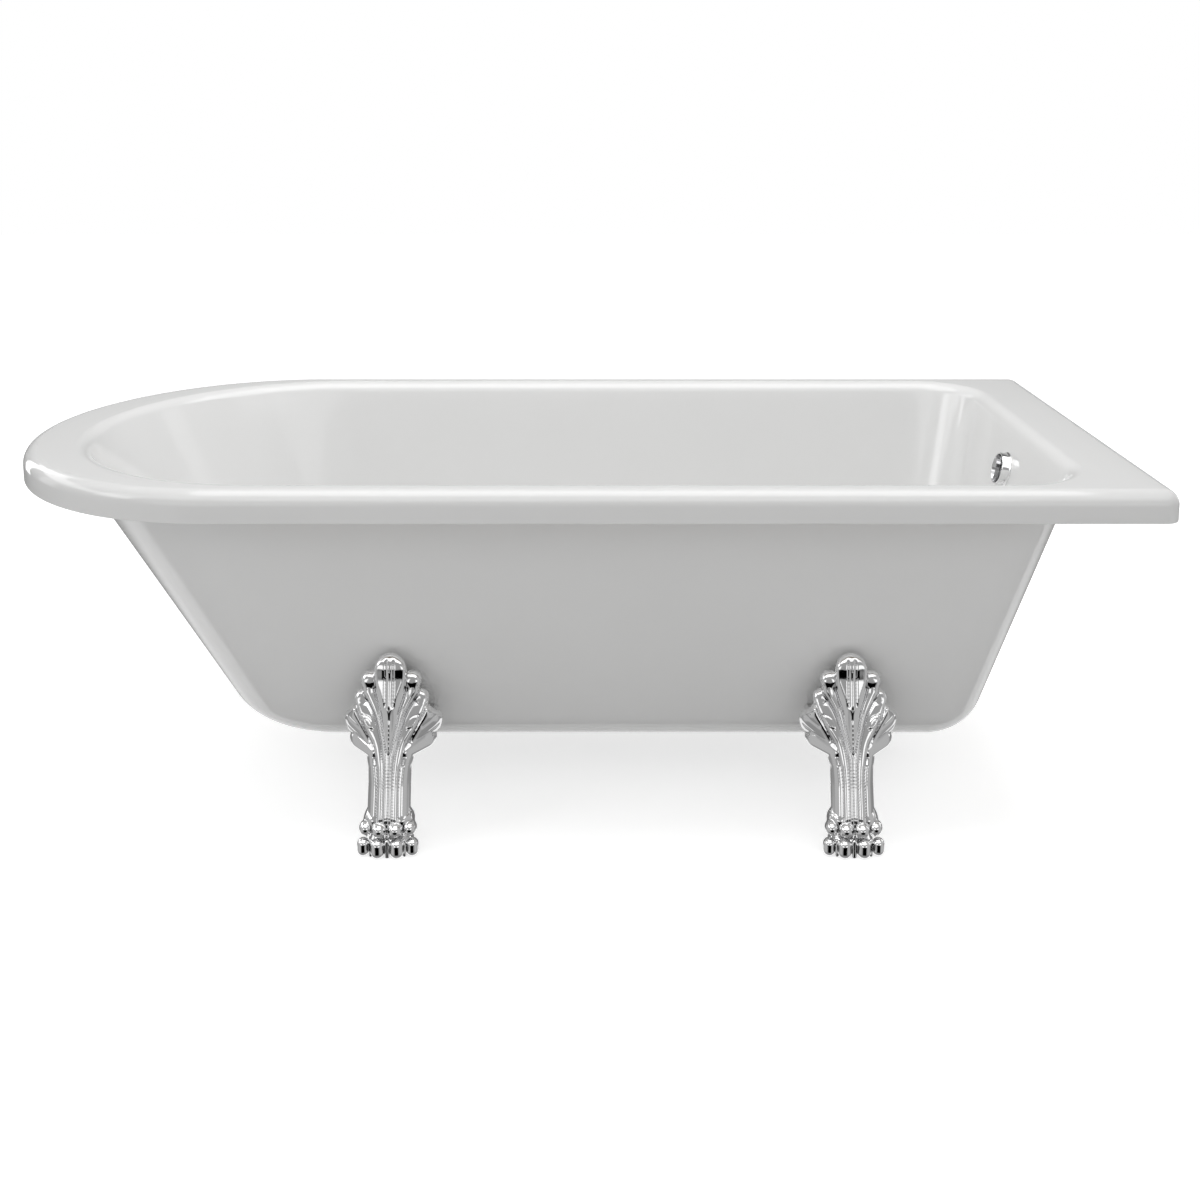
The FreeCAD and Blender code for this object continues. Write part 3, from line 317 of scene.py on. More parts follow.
def weld(mesh, distance, outwards=False):
    """Joins points that lie together, and turns every face outwards if asked."""
    form = bmesh.new()
    form.from_mesh(mesh)
    bmesh.ops.remove_doubles(form, verts=form.verts, dist=distance)
    if outwards:
        bmesh.ops.recalc_face_normals(form, faces=form.faces)
    form.to_mesh(mesh)
    form.free()


def bands(rings, closed=False):
    """Quads between rings of as many points each."""
    count = len(rings[0])
    faces = []
    last = len(rings) if closed else len(rings) - 1
    for ring in range(last):
        start, next_start = ring * count, ((ring + 1) % len(rings)) * count
        for place in range(count):
            after = (place + 1) % count
            faces.append((start + place, start + after, next_start + after, next_start + place))
    return faces


def bake(made):
    """Leaves a piece as the plain mesh that its modifiers make."""
    bpy.context.view_layer.update()
    graph = bpy.context.evaluated_depsgraph_get()
    mesh = bpy.data.meshes.new_from_object(made.evaluated_get(graph))
    made.modifiers.clear()
    old = made.data
    made.data = mesh
    bpy.data.meshes.remove(old)
    shade(mesh, SHARP_ANGLE)


def drill(made, cutters):
    """Cuts closed cutter pieces out of a piece and leaves it as a plain mesh."""
    for cutter in cutters:
        hole = made.modifiers.new("hole", "BOOLEAN")
        hole.operation = "DIFFERENCE"
        hole.solver = "EXACT"
        hole.object = cutter
    bake(made)
    for cutter in cutters:
        bpy.data.objects.remove(cutter)


# ---- The bath's two skins ----
class TubForm:
    """A leaning block with a round back and a rounded bottom.

    Its insets are measured from the rim's edge at the height of the rim's top.
    """

    def __init__(self, side, back, tap, depth, corner, bottom_round):
        self.side = side
        self.back = back
        self.tap = tap
        self.depth = depth
        self.corner = corner
        self.bottom_round = bottom_round

    def grown(self, skin):
        return TubForm(
            self.side - skin / math.cos(SIDE_LEAN),
            self.back - skin / math.cos(BACK_LEAN),
            self.tap - skin / math.cos(TAP_LEAN),
            self.depth + skin,
            self.corner + skin,
            self.bottom_round + skin,
        )

    def level(self, drop):
        """Points and outward wall normals of the plan at one drop below the rim's top."""
        half = WIDTH / 2 - self.side - drop * math.tan(SIDE_LEAN)
        tap = LENGTH / 2 - self.tap - drop * math.tan(TAP_LEAN)
        back = -LENGTH / 2 + self.back + drop * math.tan(BACK_LEAN)
        apex_drop = (WIDTH / 2 - self.side) / math.tan(SIDE_LEAN)
        apex_x = -LENGTH / 2 + self.back + apex_drop * math.tan(BACK_LEAN)
        slope = self.seam_slope()
        centre = apex_x + (apex_drop - drop) * slope
        sink = (math.tan(SIDE_LEAN), math.tan(TAP_LEAN), math.tan(BACK_LEAN))
        return plan_ring(centre, centre - back, half, tap, self.corner, sink, slope)

    @staticmethod
    def seam_slope():
        axis = Vector((-math.sin(CONE_TILT), 0, math.cos(CONE_TILT)))
        side = Vector((0, math.cos(SIDE_LEAN), -math.sin(SIDE_LEAN)))
        tangent = axis - side * axis.dot(side)
        return tangent.x / tangent.z

    def floor_rings(self, steps):
        """From the flat floor's edge up round the bottom to the walls."""
        inner = self.grown(-self.bottom_round)
        plan, normals = inner.level(self.depth - self.bottom_round)
        centre = lift(plan, RIM_HEIGHT - self.depth + self.bottom_round)
        down = np.array([0.0, 0.0, -1.0])
        turns = [turn_between(down, normals, step / steps) for step in range(steps + 1)]
        return [centre + self.bottom_round * turn for turn in turns]

    def mouth_rings(self, radius, steps, skin=0.0):
        """From the wall over the rolled mouth to the flat top of the rim, or one skin inside that."""
        plan, normals = self.grown(radius).level(radius)
        centre = lift(plan, RIM_HEIGHT - radius)
        up = np.array([0.0, 0.0, 1.0])
        turns = [turn_between(-normals, up, step / steps) for step in range(steps + 1)]
        return [centre + (radius - skin) * turn for turn in turns]

    def wall_ring(self, height):
        return lift(self.level(RIM_HEIGHT - height)[0], height)


SIDE_STEPS, CORNER_STEPS, TAP_STEPS, BACK_STEPS = 40, 18, 24, 110


def plan_ring(centre, reach, half, tap, corner, sink, slope):
    """Round back, straight sides, rounded tap corners: points and the leaning wall's normals.

    A row holds a point, its normal in the plan, and how the point moves for each millimetre down.
    """
    side_sink, tap_sink, back_sink = sink
    rows = []
    tap_centre_x, tap_centre_y = tap - corner, half - corner

    def add_tap_corner(start, side):
        for turn in np.linspace(start, start + math.pi / 2, CORNER_STEPS, endpoint=False):
            cosine, sine = math.cos(turn), math.sin(turn)
            x, y = tap_centre_x + corner * cosine, side * tap_centre_y + corner * sine
            rows.append((x, y, cosine, sine, -tap_sink, -side * side_sink))

    for share in np.linspace(0, 1, SIDE_STEPS, endpoint=False):
        rows.append((centre + (tap_centre_x - centre) * share, -half, 0.0, -1.0, 0.0, side_sink))
    add_tap_corner(-math.pi / 2, -1)
    for share in np.linspace(0, 1, TAP_STEPS, endpoint=False):
        rows.append((tap, -tap_centre_y + 2 * tap_centre_y * share, 1.0, 0.0, -tap_sink, 0.0))
    add_tap_corner(0, 1)
    for share in np.linspace(0, 1, SIDE_STEPS, endpoint=False):
        rows.append((tap_centre_x + (centre - tap_centre_x) * share, half, 0.0, 1.0, 0.0, -side_sink))
    for turn in np.linspace(math.pi / 2, 3 * math.pi / 2, BACK_STEPS, endpoint=False):
        cosine, sine = math.cos(turn), math.sin(turn)
        normal = np.array([cosine / reach, sine / half])
        normal /= np.linalg.norm(normal)
        sink_x = -slope - cosine * (slope + back_sink)
        rows.append((centre + reach * cosine, half * sine, *normal, sink_x, -side_sink * sine))
    rows = np.array(rows)
    points, normals, sinks = rows[:, :2], rows[:, 2:4], rows[:, 4:]
    fall = (normals * sinks).sum(1)
    wall = np.column_stack([normals, fall])
    return points, wall / np.linalg.norm(wall, axis=1)[:, None]


def lift(plan, height):
    return np.column_stack([plan, np.full(len(plan), height)])


def turn_between(start, end, share):
    """Unit vectors turned from start to end by a share of the angle between them."""
    start, end = np.broadcast_arrays(np.atleast_2d(start), np.atleast_2d(end))
    angle = np.arccos(np.clip((start * end).sum(1), -1, 1))[:, None]
    return (np.sin((1 - share) * angle) * start + np.sin(share * angle) * end) / np.sin(angle)


def rim_ring(inset, height):
    half = WIDTH / 2 - inset
    centre = -LENGTH / 2 + WIDTH / 2
    plan = plan_ring(centre, half, half, LENGTH / 2 - inset, max(RIM_CORNER - inset, 0.6), (0, 0, 0), 0)[0]
    return lift(plan, height)


def rolled(inset, height, radius, start, end, steps):
    """Rings of the rim's outline round an edge, about a centre at inset and height. 0 degrees is outwards."""
    rings = []
    for step in range(steps + 1):
        turn = math.radians(start + (end - start) * step / steps)
        rings.append(rim_ring(inset - radius * math.cos(turn), height + radius * math.sin(turn)))
    return rings


OUTER_FORM = TubForm(
    side=SIDE_INSET,
    back=BACK_INSET,
    tap=TAP_INSET,
    depth=RIM_HEIGHT - UNDERSIDE,
    corner=100.0,
    bottom_round=85.0,
)
CAVITY_FORM = TubForm(
    side=SIDE_INSET + SKIN_OFFSET / math.cos(SIDE_LEAN),
    back=BACK_INSET + (SKIN_OFFSET + BACKREST_HOLLOW) / math.cos(BACK_LEAN),
    tap=TAP_INSET + SKIN_OFFSET / math.cos(TAP_LEAN),
    depth=RIM_HEIGHT - CAVITY_FLOOR,
    corner=92.0,
    bottom_round=75.0,
)


def ruled(low, high, steps):
    """Rings between two others, without those two."""
    return [low + (high - low) * step / steps for step in range(1, steps)]


def closed_skin(name, rings, slot):
    """A closed piece from rings that starts and ends on flat floors."""
    points = np.vstack(rings)
    count = len(rings[0])
    faces = bands(rings)
    faces.append(list(range(count))[::-1])
    faces.append(list(range(len(points) - count, len(points))))
    made = piece(name, points, faces, slot)
    weld(made.data, 1e-7, outwards=True)
    return made


def overflow_matrix():
    """From a piece drawn about Z, with +Z out of the bath, to the overflow's axis, in metres."""
    wall_x = LENGTH / 2 - CAVITY_FORM.tap - OVERFLOW_DROP * math.tan(TAP_LEAN)
    turn = Matrix.Rotation(math.pi / 2 + TAP_LEAN, 4, "Y")
    return Matrix.Translation(Vector((wall_x, 0, RIM_HEIGHT - OVERFLOW_DROP)) * METRE) @ turn


def rod(radius, bottom, top, steps=96):
    turns = np.linspace(0, 2 * math.pi, steps, endpoint=False)
    ring = np.column_stack([radius * np.cos(turns), radius * np.sin(turns)])
    rings = [lift(ring, bottom), lift(ring, top)]
    faces = bands(rings) + [list(range(steps))[::-1], list(range(steps, 2 * steps))]
    return piece("cutter", np.vstack(rings), faces, "steel")


def hole_cutters():
    waste = rod(WASTE_HOLE_RADIUS, 60.0, 200.0)
    waste.data.transform(Matrix.Translation(Vector((WASTE_X * METRE, 0, 0))))
    overflow = rod(OVERFLOW_HOLE_RADIUS, -25.0, 25.0)
    overflow.data.transform(overflow_matrix())
    return [waste, overflow]


def inner_skin():
    """Cavity, rolled mouth, rim, apron and the underside down to the floor."""
    floor = CAVITY_FORM.floor_rings(18)
    mouth = CAVITY_FORM.mouth_rings(MOUTH_ROUND, 14)
    rings = list(floor)
    rings += ruled(floor[-1], mouth[0], 10)
    rings += mouth
    edge = rim_ring(RIM_ROUND, RIM_HEIGHT)
    rings += ruled(mouth[-1], edge, 3)
    rings += rolled(RIM_ROUND, RIM_HEIGHT - RIM_ROUND, RIM_ROUND, 90, 0, 14)
    apron = RIM_HEIGHT - RIM_DEPTH
    rings += [rim_ring(0, apron + 12.0), rim_ring(0, apron + 3.0)]
    rings += rolled(APRON_EDGE_ROUND, apron + APRON_EDGE_ROUND, APRON_EDGE_ROUND, 0, -90, 5)
    inside = RIM_HEIGHT - INNER_SKIN
    rings += rolled(INNER_SKIN - APRON_INNER_ROUND, apron + APRON_INNER_ROUND, -APRON_INNER_ROUND, 90, 180, 3)
    rings += [rim_ring(INNER_SKIN, apron + 3.0), rim_ring(INNER_SKIN, inside - (RIM_ROUND - INNER_SKIN))]
    rings += rolled(RIM_ROUND, RIM_HEIGHT - RIM_ROUND, RIM_ROUND - INNER_SKIN, 0, 90, 8)[1:]
    grown = CAVITY_FORM.grown(INNER_SKIN)
    hidden = grown.floor_rings(10)[::-1]
    rings += CAVITY_FORM.mouth_rings(MOUTH_ROUND, 8, INNER_SKIN)[::-1]
    rings += ruled(rings[-1], hidden[0], 4)
    rings += hidden
    made = closed_skin("bath_inner_shell_form", rings, "white_acrylic")
    drill(made, hole_cutters())
    return made


def outer_skin():
    """The shell seen from outside, with its plain inner side."""
    floor = OUTER_FORM.floor_rings(18)
    rings = list(floor)
    rings += ruled(floor[-1], OUTER_FORM.wall_ring(OUTER_SKIN_TOP), 12)
    rings.append(OUTER_FORM.wall_ring(OUTER_SKIN_TOP))
    inner = OUTER_FORM.grown(-OUTER_SKIN)
    hidden = inner.floor_rings(12)
    rings.append(inner.wall_ring(OUTER_SKIN_TOP))
    rings += ruled(inner.wall_ring(OUTER_SKIN_TOP), hidden[-1], 4)
    rings += hidden[::-1]
    made = closed_skin("bath_outer_shell_form", rings, "white_acrylic")
    drill(made, hole_cutters())
    return made


inner_piece = inner_skin()
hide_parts("bath_inner_shell")
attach(inner_piece, "bath")
outer_piece = outer_skin()
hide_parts("bath_outer_shell")
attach(outer_piece, "bath")


# ---- Claw feet: a relief over a plan of lobes, joined to a paw, as a field that a net is drawn over ----
FOOT_CENTRES = {
    "front_back_rest": (-247.0, -1),
    "rear_back_rest": (-247.0, 1),
    "front_tap_end": (427.5, -1),
    "rear_tap_end": (427.5, 1),
}
NET_STEP = 1.22
SHAFT_BACK = 46.0
SADDLE_GAP = 0.3
CREASE_SLOPE = 3.0
CREASE_FILL = 0.8
EDGE_GROWTH = 2.0
LIP_ROUND = 2.0
UNDERCUT = 0.5
UNDERCUT_DEPTH = 28.0
SHAFT_BOTTOM = 34.0
PAW_INSET = 43.0
SOLE_ROUND = 0.4
CUT_ROUND = 0.1
TINY = 1e-6
# Spots over which the relief is worn: radius, turn of the ring in steps, share
WEAR_RINGS = ((0.9, 0.0, 1.0), (1.8, 0.5, 0.6))
WEAR_MIDDLE_SHARE = 2.0

# Lines over the front of the casting, as (height, distance): how far the front lies behind the rim's face,
# and how far out the lobes' shared edges run
FRONT_INSET = (
    (0, 43.6), (56.5, 54.3), (96, 66.2), (158, 82.2), (203, 90.9),
    (246, 101.2), (250, 102.0), (262, 102.6), (270, 105), (276, 108.5), (281, 113),
)
LEAF_EDGE = (
    (139, 0.3), (143, 2.0), (159, 6.7), (176, 10.6), (190, 12.7),
    (207, 15.8), (216, 19), (230, 22), (258, 23.4),
)
SECOND_EDGE = (
    (50, 6), (120, 6), (141, 7.5), (158, 10), (172, 13.5),
    (187, 17.4), (198, 22), (210, 29.5), (224, 41.6),
)
LEAF_RIDGE = ((196, 0), (206, 4.0), (214, 7.6), (246, 20.0), (262, 27.0), (281, 27.0))
THIRD_EDGE = (
    (50, 15), (100, 14.5), (124, 16.5), (136, 18.8), (150, 22),
    (161, 28.5), (180, 39.8), (195, 48.5), (213, 54.5),
)
CHEEK_EDGE = ((46, 37), (54, 33), (62, 30.8), (100, 30.3), (119, 31), (132, 33.6), (150, 38))
WING_EDGE = ((140, 60), (170, 72), (180, 72), (190, 66.5), (203, 54.5))
# Round ends of the lobes: centre (sideways, height) and radius
LEAF_TIP = ((0, 257.6), 23.4)
SECOND_TIP = ((31, 240.6), 13.2)
THIRD_TIP = ((43, 213), 11.6)
WING_TIP = ((58.6, 177), 14.4)
BUD_CENTRE = (32.4, 184.0)
BUD_TURN = math.radians(48.0)
PLAN_SOFTNESS = 1.6


def line_at(line, z):
    """The line's distance at a height, with its corners rounded."""
    heights, values = zip(*line)
    spread = ((-5.0, 0.1), (-2.5, 0.25), (0.0, 0.3), (2.5, 0.25), (5.0, 0.1))
    return sum(share * np.interp(z + shift, heights, values) for shift, share in spread)


def across(line, x, z):
    """Distance in the plan from an edge line, positive on its outer side."""
    slope = line_at(line, z + 0.5) - line_at(line, z - 0.5)
    return (x - line_at(line, z)) / np.sqrt(1 + slope**2)


def strip(x, z, inner, outer, top):
    return np.minimum(np.minimum(across(inner, x, z), -across(outer, x, z)), top - z)


def disc(x, z, centre, radius):
    return radius - np.hypot(x - centre[0], z - centre[1])


def taper(x, z, start, end, start_radius, end_radius):
    """Distance inside a rounded bar in the plan that swells from start to end."""
    right, up = end[0] - start[0], end[1] - start[1]
    share = np.clip(((x - start[0]) * right + (z - start[1]) * up) / (right * right + up * up), 0, 1)
    reach = np.hypot(x - start[0] - share * right, z - start[1] - share * up)
    return start_radius + (end_radius - start_radius) * share - reach


def roll(inside, width, depth):
    """How far a lobe drops near its edge."""
    share = np.clip(1 - inside / width, 0, 1)
    return depth * (1 - np.sqrt(1 - share**2)) + CREASE_SLOPE * np.maximum(-inside, 0)


def half_between(z, inner, outer, least, most):
    return np.clip((line_at(outer, z) - line_at(inner, z)) / 2, least, most)


def groove(offset, width):
    return np.exp(-((offset / width) ** 2))


def between_heights(z, low, high, fade):
    return np.clip((z - low) / fade, 0, 1) * np.clip((high - z) / fade, 0, 1)


def eye_bud(x, z):
    """An almond with a raised rim and a hatched middle, in a shallow moat."""
    right, up = x - BUD_CENTRE[0], z - BUD_CENTRE[1]
    along = right * math.cos(BUD_TURN) + up * math.sin(BUD_TURN)
    side = -right * math.sin(BUD_TURN) + up * math.cos(BUD_TURN)
    size = np.sqrt((along / 9.6) ** 2 + (side / (4.4 - 0.02 * along**2)) ** 2)
    rim = groove(size - 0.95, 0.16)
    moat = groove(size - 1.32, 0.2)
    hatch = 0.35 * np.cos(along * 2.4 + side * 1.2) * (size < 0.75)
    return 1.3 * rim - 1.0 * moat + hatch


def crown_relief(x, z):
    """Plan distance and front surface of the crown and shaft over a grid of x >= 0 and z."""
    front = WIDTH / 2 - line_at(FRONT_INSET, z)
    lobes = []

    inside = np.maximum(disc(x, z, *LEAF_TIP), np.minimum(-across(LEAF_EDGE, x, z), LEAF_TIP[0][1] - z))
    past_ridge = 0.6 * np.logaddexp(0, (x - line_at(LEAF_RIDGE, z)) / 0.6)
    shape = front - roll(inside, 5.0, 4.0) - 0.5 * past_ridge - 0.18 * np.maximum(x - 7.0, 0)
    shape = shape - 1.9 * groove(x - 5.4, 1.7) * between_heights(z, 206, 277, 5)
    shape = shape + 0.9 * groove(x, 2.0) * between_heights(z, 142, 280, 6)
    shape = shape - 1.1 * groove(x, 0.9) * (between_heights(z, 186, 210, 4) + between_heights(z, 256, 276, 4))
    lobes.append((inside, shape))

    inner = [(50, 0.3), (138, 0.3), *LEAF_EDGE]
    inside = np.maximum(disc(x, z, *SECOND_TIP), strip(x, z, inner, SECOND_EDGE, 240))
    width = half_between(z, inner, SECOND_EDGE, 2.0, 9.5)
    back = line_at(((50, 0.4), (141, 0.6), (160, 2.0), (200, 6.2), (228, 9.6), (241, 8.0), (254, 8.6)), z)
    lobes.append((inside, front - back - roll(inside, width, 0.8 * width)))

    inside = np.maximum(disc(x, z, *THIRD_TIP), strip(x, z, SECOND_EDGE, THIRD_EDGE, 213))
    width = half_between(z, SECOND_EDGE, THIRD_EDGE, 3.0, 8.5)
    back = line_at(((50, 1.2), (130, 1.8), (160, 5.0), (180, 9.0), (213, 17.0)), z)
    shape = front - back - roll(inside, width, 0.8 * width)
    flute = across(SECOND_EDGE, x, z) - 4.6
    shape = shape - 1.1 * groove(flute, 1.1) * between_heights(z, 176, 219, 8)
    lobes.append((inside, shape + eye_bud(x, z)))

    inside = np.maximum(disc(x, z, *WING_TIP), strip(x, z, THIRD_EDGE, WING_EDGE, 203))
    inside = np.minimum(inside, (z - 139.0 - 0.45 * (x - 22)) * 0.91)
    shape = front - 8.0 - 0.72 * np.maximum(x - line_at(THIRD_EDGE, z), 0) - roll(inside, 11.0, 9.0)
    fold = (z - 143.0) - 0.62 * (x - 22)
    shape = shape - 1.6 * groove(fold, 1.8) * (x > 30) - 1.2 * groove(fold - 17.0, 2.2) * (x > 46)
    lobes.append((inside, shape))

    inside = taper(x, z, (27, 142.5), (52, 151), 10.0, 12.3)
    lobes.append((inside, front - 5.0 - 0.66 * np.maximum(x - 22, 0) - roll(inside, 9.0, 9.0)))

    inside = strip(x, z, THIRD_EDGE, CHEEK_EDGE, 160)
    width = half_between(z, THIRD_EDGE, CHEEK_EDGE, 6.0, 7.4)
    outside = np.clip(across(THIRD_EDGE, x, z) / 14.0, 0, 1)
    sunk = 0.35 * np.maximum(z - 126.0, 0)
    lobes.append((inside, front - 2.6 - sunk - 9.0 * outside**2.2 - roll(inside, width, 0.55 * width)))

    weights = [np.exp(np.clip(inside / PLAN_SOFTNESS, -30, 30)) for inside, _ in lobes]
    plan = PLAN_SOFTNESS * np.log(sum(weights))
    highest = np.maximum.reduce([shape for _, shape in lobes])
    weights = [np.exp((shape - highest) / CREASE_FILL) for _, shape in lobes]
    return plan, highest + CREASE_FILL * np.log(sum(weights))


class Clay:
    """A casting's field on a grid of points in millimetres: negative inside."""

    def __init__(self, x, y, z):
        self.x, self.y, self.z = x, y, z
        self.field = np.full(np.broadcast(x, y, z).shape, 1e3, np.float32)

    def join(self, other, soft):
        """Adds a form, with its join filled over soft millimetres."""
        share = np.clip(0.5 + 0.5 * (other - self.field) / soft, 0, 1)
        self.field = other + (self.field - other) * share - soft * share * (1 - share)

    def carve(self, other, soft):
        """Takes a form away, with its edge rounded over soft millimetres."""
        share = np.clip(0.5 - 0.5 * (other + self.field) / soft, 0, 1)
        self.field = self.field - (self.field + other) * share + soft * share * (1 - share)

    def ball(self, centre, radii):
        """About the distance from an ellipsoid."""
        right = (self.x - centre[0]) / radii[0]
        out = (self.y - centre[1]) / radii[1]
        up = (self.z - centre[2]) / radii[2]
        reach = np.sqrt(right * right + out * out + up * up) + TINY
        slope = np.sqrt((right / radii[0]) ** 2 + (out / radii[1]) ** 2 + (up / radii[2]) ** 2) + TINY
        return reach * (reach - 1) / slope

    def limb(self, start, end, start_radius, end_radius):
        """The distance from a round bar that swells from start to end."""
        start, end = np.array(start, float), np.array(end, float)
        span = end - start
        right, out, up = self.x - start[0], self.y - start[1], self.z - start[2]
        share = np.clip((right * span[0] + out * span[1] + up * span[2]) / (span @ span), 0, 1)
        gaps = (right - share * span[0], out - share * span[1], up - share * span[2])
        distance = np.sqrt(gaps[0] ** 2 + gaps[1] ** 2 + gaps[2] ** 2)
        return distance - (start_radius + (end_radius - start_radius) * share)


def wall_reach(z):
    """How far out the bath's side stands at each height, its bottom round included."""
    side = WIDTH / 2 - OUTER_FORM.side - (RIM_HEIGHT - z) * math.tan(SIDE_LEAN)
    radius = OUTER_FORM.bottom_round
    foot = WIDTH / 2 - OUTER_FORM.side - OUTER_FORM.depth * math.tan(SIDE_LEAN)
    flat = foot - radius * math.tan((math.pi / 2 - SIDE_LEAN) / 2)
    above = np.clip(UNDERSIDE + radius - z, 0, radius)
    curve = flat + np.sqrt(np.maximum(radius**2 - above**2, 0))
    return np.where(z < UNDERSIDE + radius * (1 - math.sin(SIDE_LEAN)), curve, side)


def worn_relief(x, z):
    """The relief with its corners worn: a mean over a small round spot."""
    spots = [(0.0, 0.0, WEAR_MIDDLE_SHARE)]
    for radius, offset, share in WEAR_RINGS:
        for turn in (np.arange(6) + offset) * math.pi / 3:
            spots.append((radius * math.cos(turn), radius * math.sin(turn), share))
    total = sum(share for _, _, share in spots)
    plan, surface = 0.0, 0.0
    for sideways, upwards, share in spots:
        one_plan, one_surface = crown_relief(np.abs(x + sideways), z + upwards)
        plan, surface = plan + one_plan * share / total, surface + one_surface * share / total
    return plan + EDGE_GROWTH, surface


# Toes, knuckles and webs on one side of the paw: sideways place, radius, how far set back
TOES = ((14.0, 10.2, 0.0), (35.5, 8.9, 6.5))
KNUCKLES = ((11.8, 10.9, 1.0), (31.8, 10.0, 7.5))
WEBS = ((0.0, 3.6, 4.2), (24.6, 2.6, 8.4))
SKIN_FOLDS = (0.0, 5.0, 21.5, 27.0)


def shape_paw(clay, reach):
    """Knuckles over rounded toes, with thin webs between the toes, on a block that reaches back."""
    clay.join(clay.ball((0, reach - 44, 8), (33, 31, 24)), 6.0)
    clay.join(clay.limb((0, reach - 36, 36), (22, reach - 38, 36), 15, 13), 6.0)
    clay.join(clay.ball((21, reach - 34, 50), (14, 20, 13)), 6.0)
    for place, radius, back in TOES:
        y = reach - radius - back
        clay.join(clay.limb((place, y, 9.0), (place, y, 17.8), radius, radius), 0.7)
    for place, radius, back in WEBS:
        y = reach - radius - back
        clay.join(clay.limb((place, y, -6), (place, y - 2.0, 24.0), radius, radius), 0.6)
    for place, radius, back in KNUCKLES:
        y = reach - radius - back - 3.0
        clay.join(clay.ball((place, y, 40.0), (radius, radius + 2.0, 11.0)), 1.2)
    for place in SKIN_FOLDS:
        clay.carve(clay.ball((place, reach - 6.5 - 0.16 * place, 31.5), (1.5, 7.0, 3.0)), 1.0)
        clay.join(clay.ball((place + 2.6, reach - 9.0 - 0.2 * place, 32.5), (1.8, 5.0, 2.4)), 0.6)


# Holes in the casting on its middle plane: reach from the bath's middle, radius, bottom and top
LEVELLER_REACH = 296.0
FOOT_BOLT_REACH = 278.0
BORES = (
    (LEVELLER_REACH, 15.0, -5.0, 8.3),
    (LEVELLER_REACH, 8.6, 0.0, 34.6),
    (LEVELLER_REACH, 6.2, 0.0, 42.0),
    (FOOT_BOLT_REACH, 5.8, 70.0, 96.0),
)
STRAP_HALF_WIDTH = 20.5
STRAP_END = 291.5
STRAP_SEAT = 95.0
STRAP_SLOT_TOP = 122.0


def bore_holes(clay):
    """The leveller's pocket and bore, the bolt's hole, and the slot at the back where the strap comes in."""
    for reach, radius, bottom, top in BORES:
        round_hole = np.hypot(clay.x, clay.y - reach) - radius
        clay.carve(np.maximum(round_hole, np.maximum(bottom - clay.z, clay.z - top)), CUT_ROUND)
    slot = np.maximum(np.abs(clay.x) - STRAP_HALF_WIDTH, clay.y - STRAP_END)
    clay.carve(np.maximum(slot, np.maximum(STRAP_SEAT - clay.z, clay.z - STRAP_SLOT_TOP)), CUT_ROUND)


def foot_field(xs, ys, zs):
    x, z = np.meshgrid(xs, zs, indexing="ij")
    plan, surface = worn_relief(x, z)
    steep = np.clip(np.hypot(*np.gradient(surface, NET_STEP)), 0, 3.5)
    front = WIDTH / 2 - line_at(FRONT_INSET, z)
    hug = wall_reach(z) + SADDLE_GAP
    back = np.where(z > UNDERSIDE + 6.0, hug, front - SHAFT_BACK)
    grid = np.meshgrid(xs.astype(np.float32), ys.astype(np.float32), zs.astype(np.float32), indexing="ij")
    clay = Clay(*grid)

    def deep(plane):
        return plane.astype(np.float32)[:, None, :]

    under = np.clip(deep(surface) - clay.y, 0, UNDERCUT_DEPTH)
    edge = UNDERCUT * under - deep(plan)
    relief = (clay.y - deep(surface)) / deep(np.sqrt(1 + steep**2))
    lip = LIP_ROUND / 4 * np.clip(1 - np.abs(edge - relief) / LIP_ROUND, 0, 1) ** 2
    body = np.maximum(edge, relief) + lip
    body = np.maximum(np.maximum(body, deep(back) - clay.y), SHAFT_BOTTOM - clay.z)
    clay.field = body.astype(np.float32)
    shape_paw(clay, WIDTH / 2 - PAW_INSET)
    clay.carve(clay.z, SOLE_ROUND)
    clay.carve(np.where(clay.z > UNDERSIDE, clay.y - deep(hug), 50.0), CUT_ROUND)
    bore_holes(clay)
    return clay.field


def net_over(field, origin, step):
    """A mesh of quads over the zero level of a field on a grid."""
    inside = field < 0
    shape = np.array(field.shape) - 1
    total = np.zeros((*shape, 3), np.float32)
    count = np.zeros(shape, np.float32)

    def at(values, corner):
        return values[tuple(slice(first, first + size) for first, size in zip(corner, shape))]

    for start in np.ndindex(2, 2, 2):
        for axis in range(3):
            if start[axis]:
                continue
            end = tuple(value + (place == axis) for place, value in enumerate(start))
            low, high = at(field, start), at(field, end)
            cross = at(inside, start) != at(inside, end)
            share = np.where(cross, low / np.where(cross, low - high, 1), 0)
            for other in range(3):
                total[..., other] += np.where(cross, start[other] + (share if other == axis else 0), 0)
            count += cross
    active = count > 0
    index = np.full(shape, -1, np.int64)
    index[active] = np.arange(active.sum())
    points = origin + (np.argwhere(active) + total[active] / count[active][:, None]) * step
    faces = []
    for axis in range(3):
        right, up = (axis + 1) % 3, (axis + 2) % 3
        first, second = [slice(1, -1)] * 3, [slice(1, -1)] * 3
        first[axis], second[axis] = slice(0, -1), slice(1, None)
        here, there = inside[tuple(first)], inside[tuple(second)]
        for change, order in ((~here & there, -1), (here & ~there, 1)):
            hits = np.argwhere(change) + 1
            hits[:, axis] -= 1
            quad = []
            for right_shift, up_shift in ((-1, -1), (0, -1), (0, 0), (-1, 0)):
                cell = hits.copy()
                cell[:, right] += right_shift
                cell[:, up] += up_shift
                quad.append(index[tuple(cell.T)])
            faces.append(np.column_stack(quad[::order]))
    return points, np.vstack(faces)


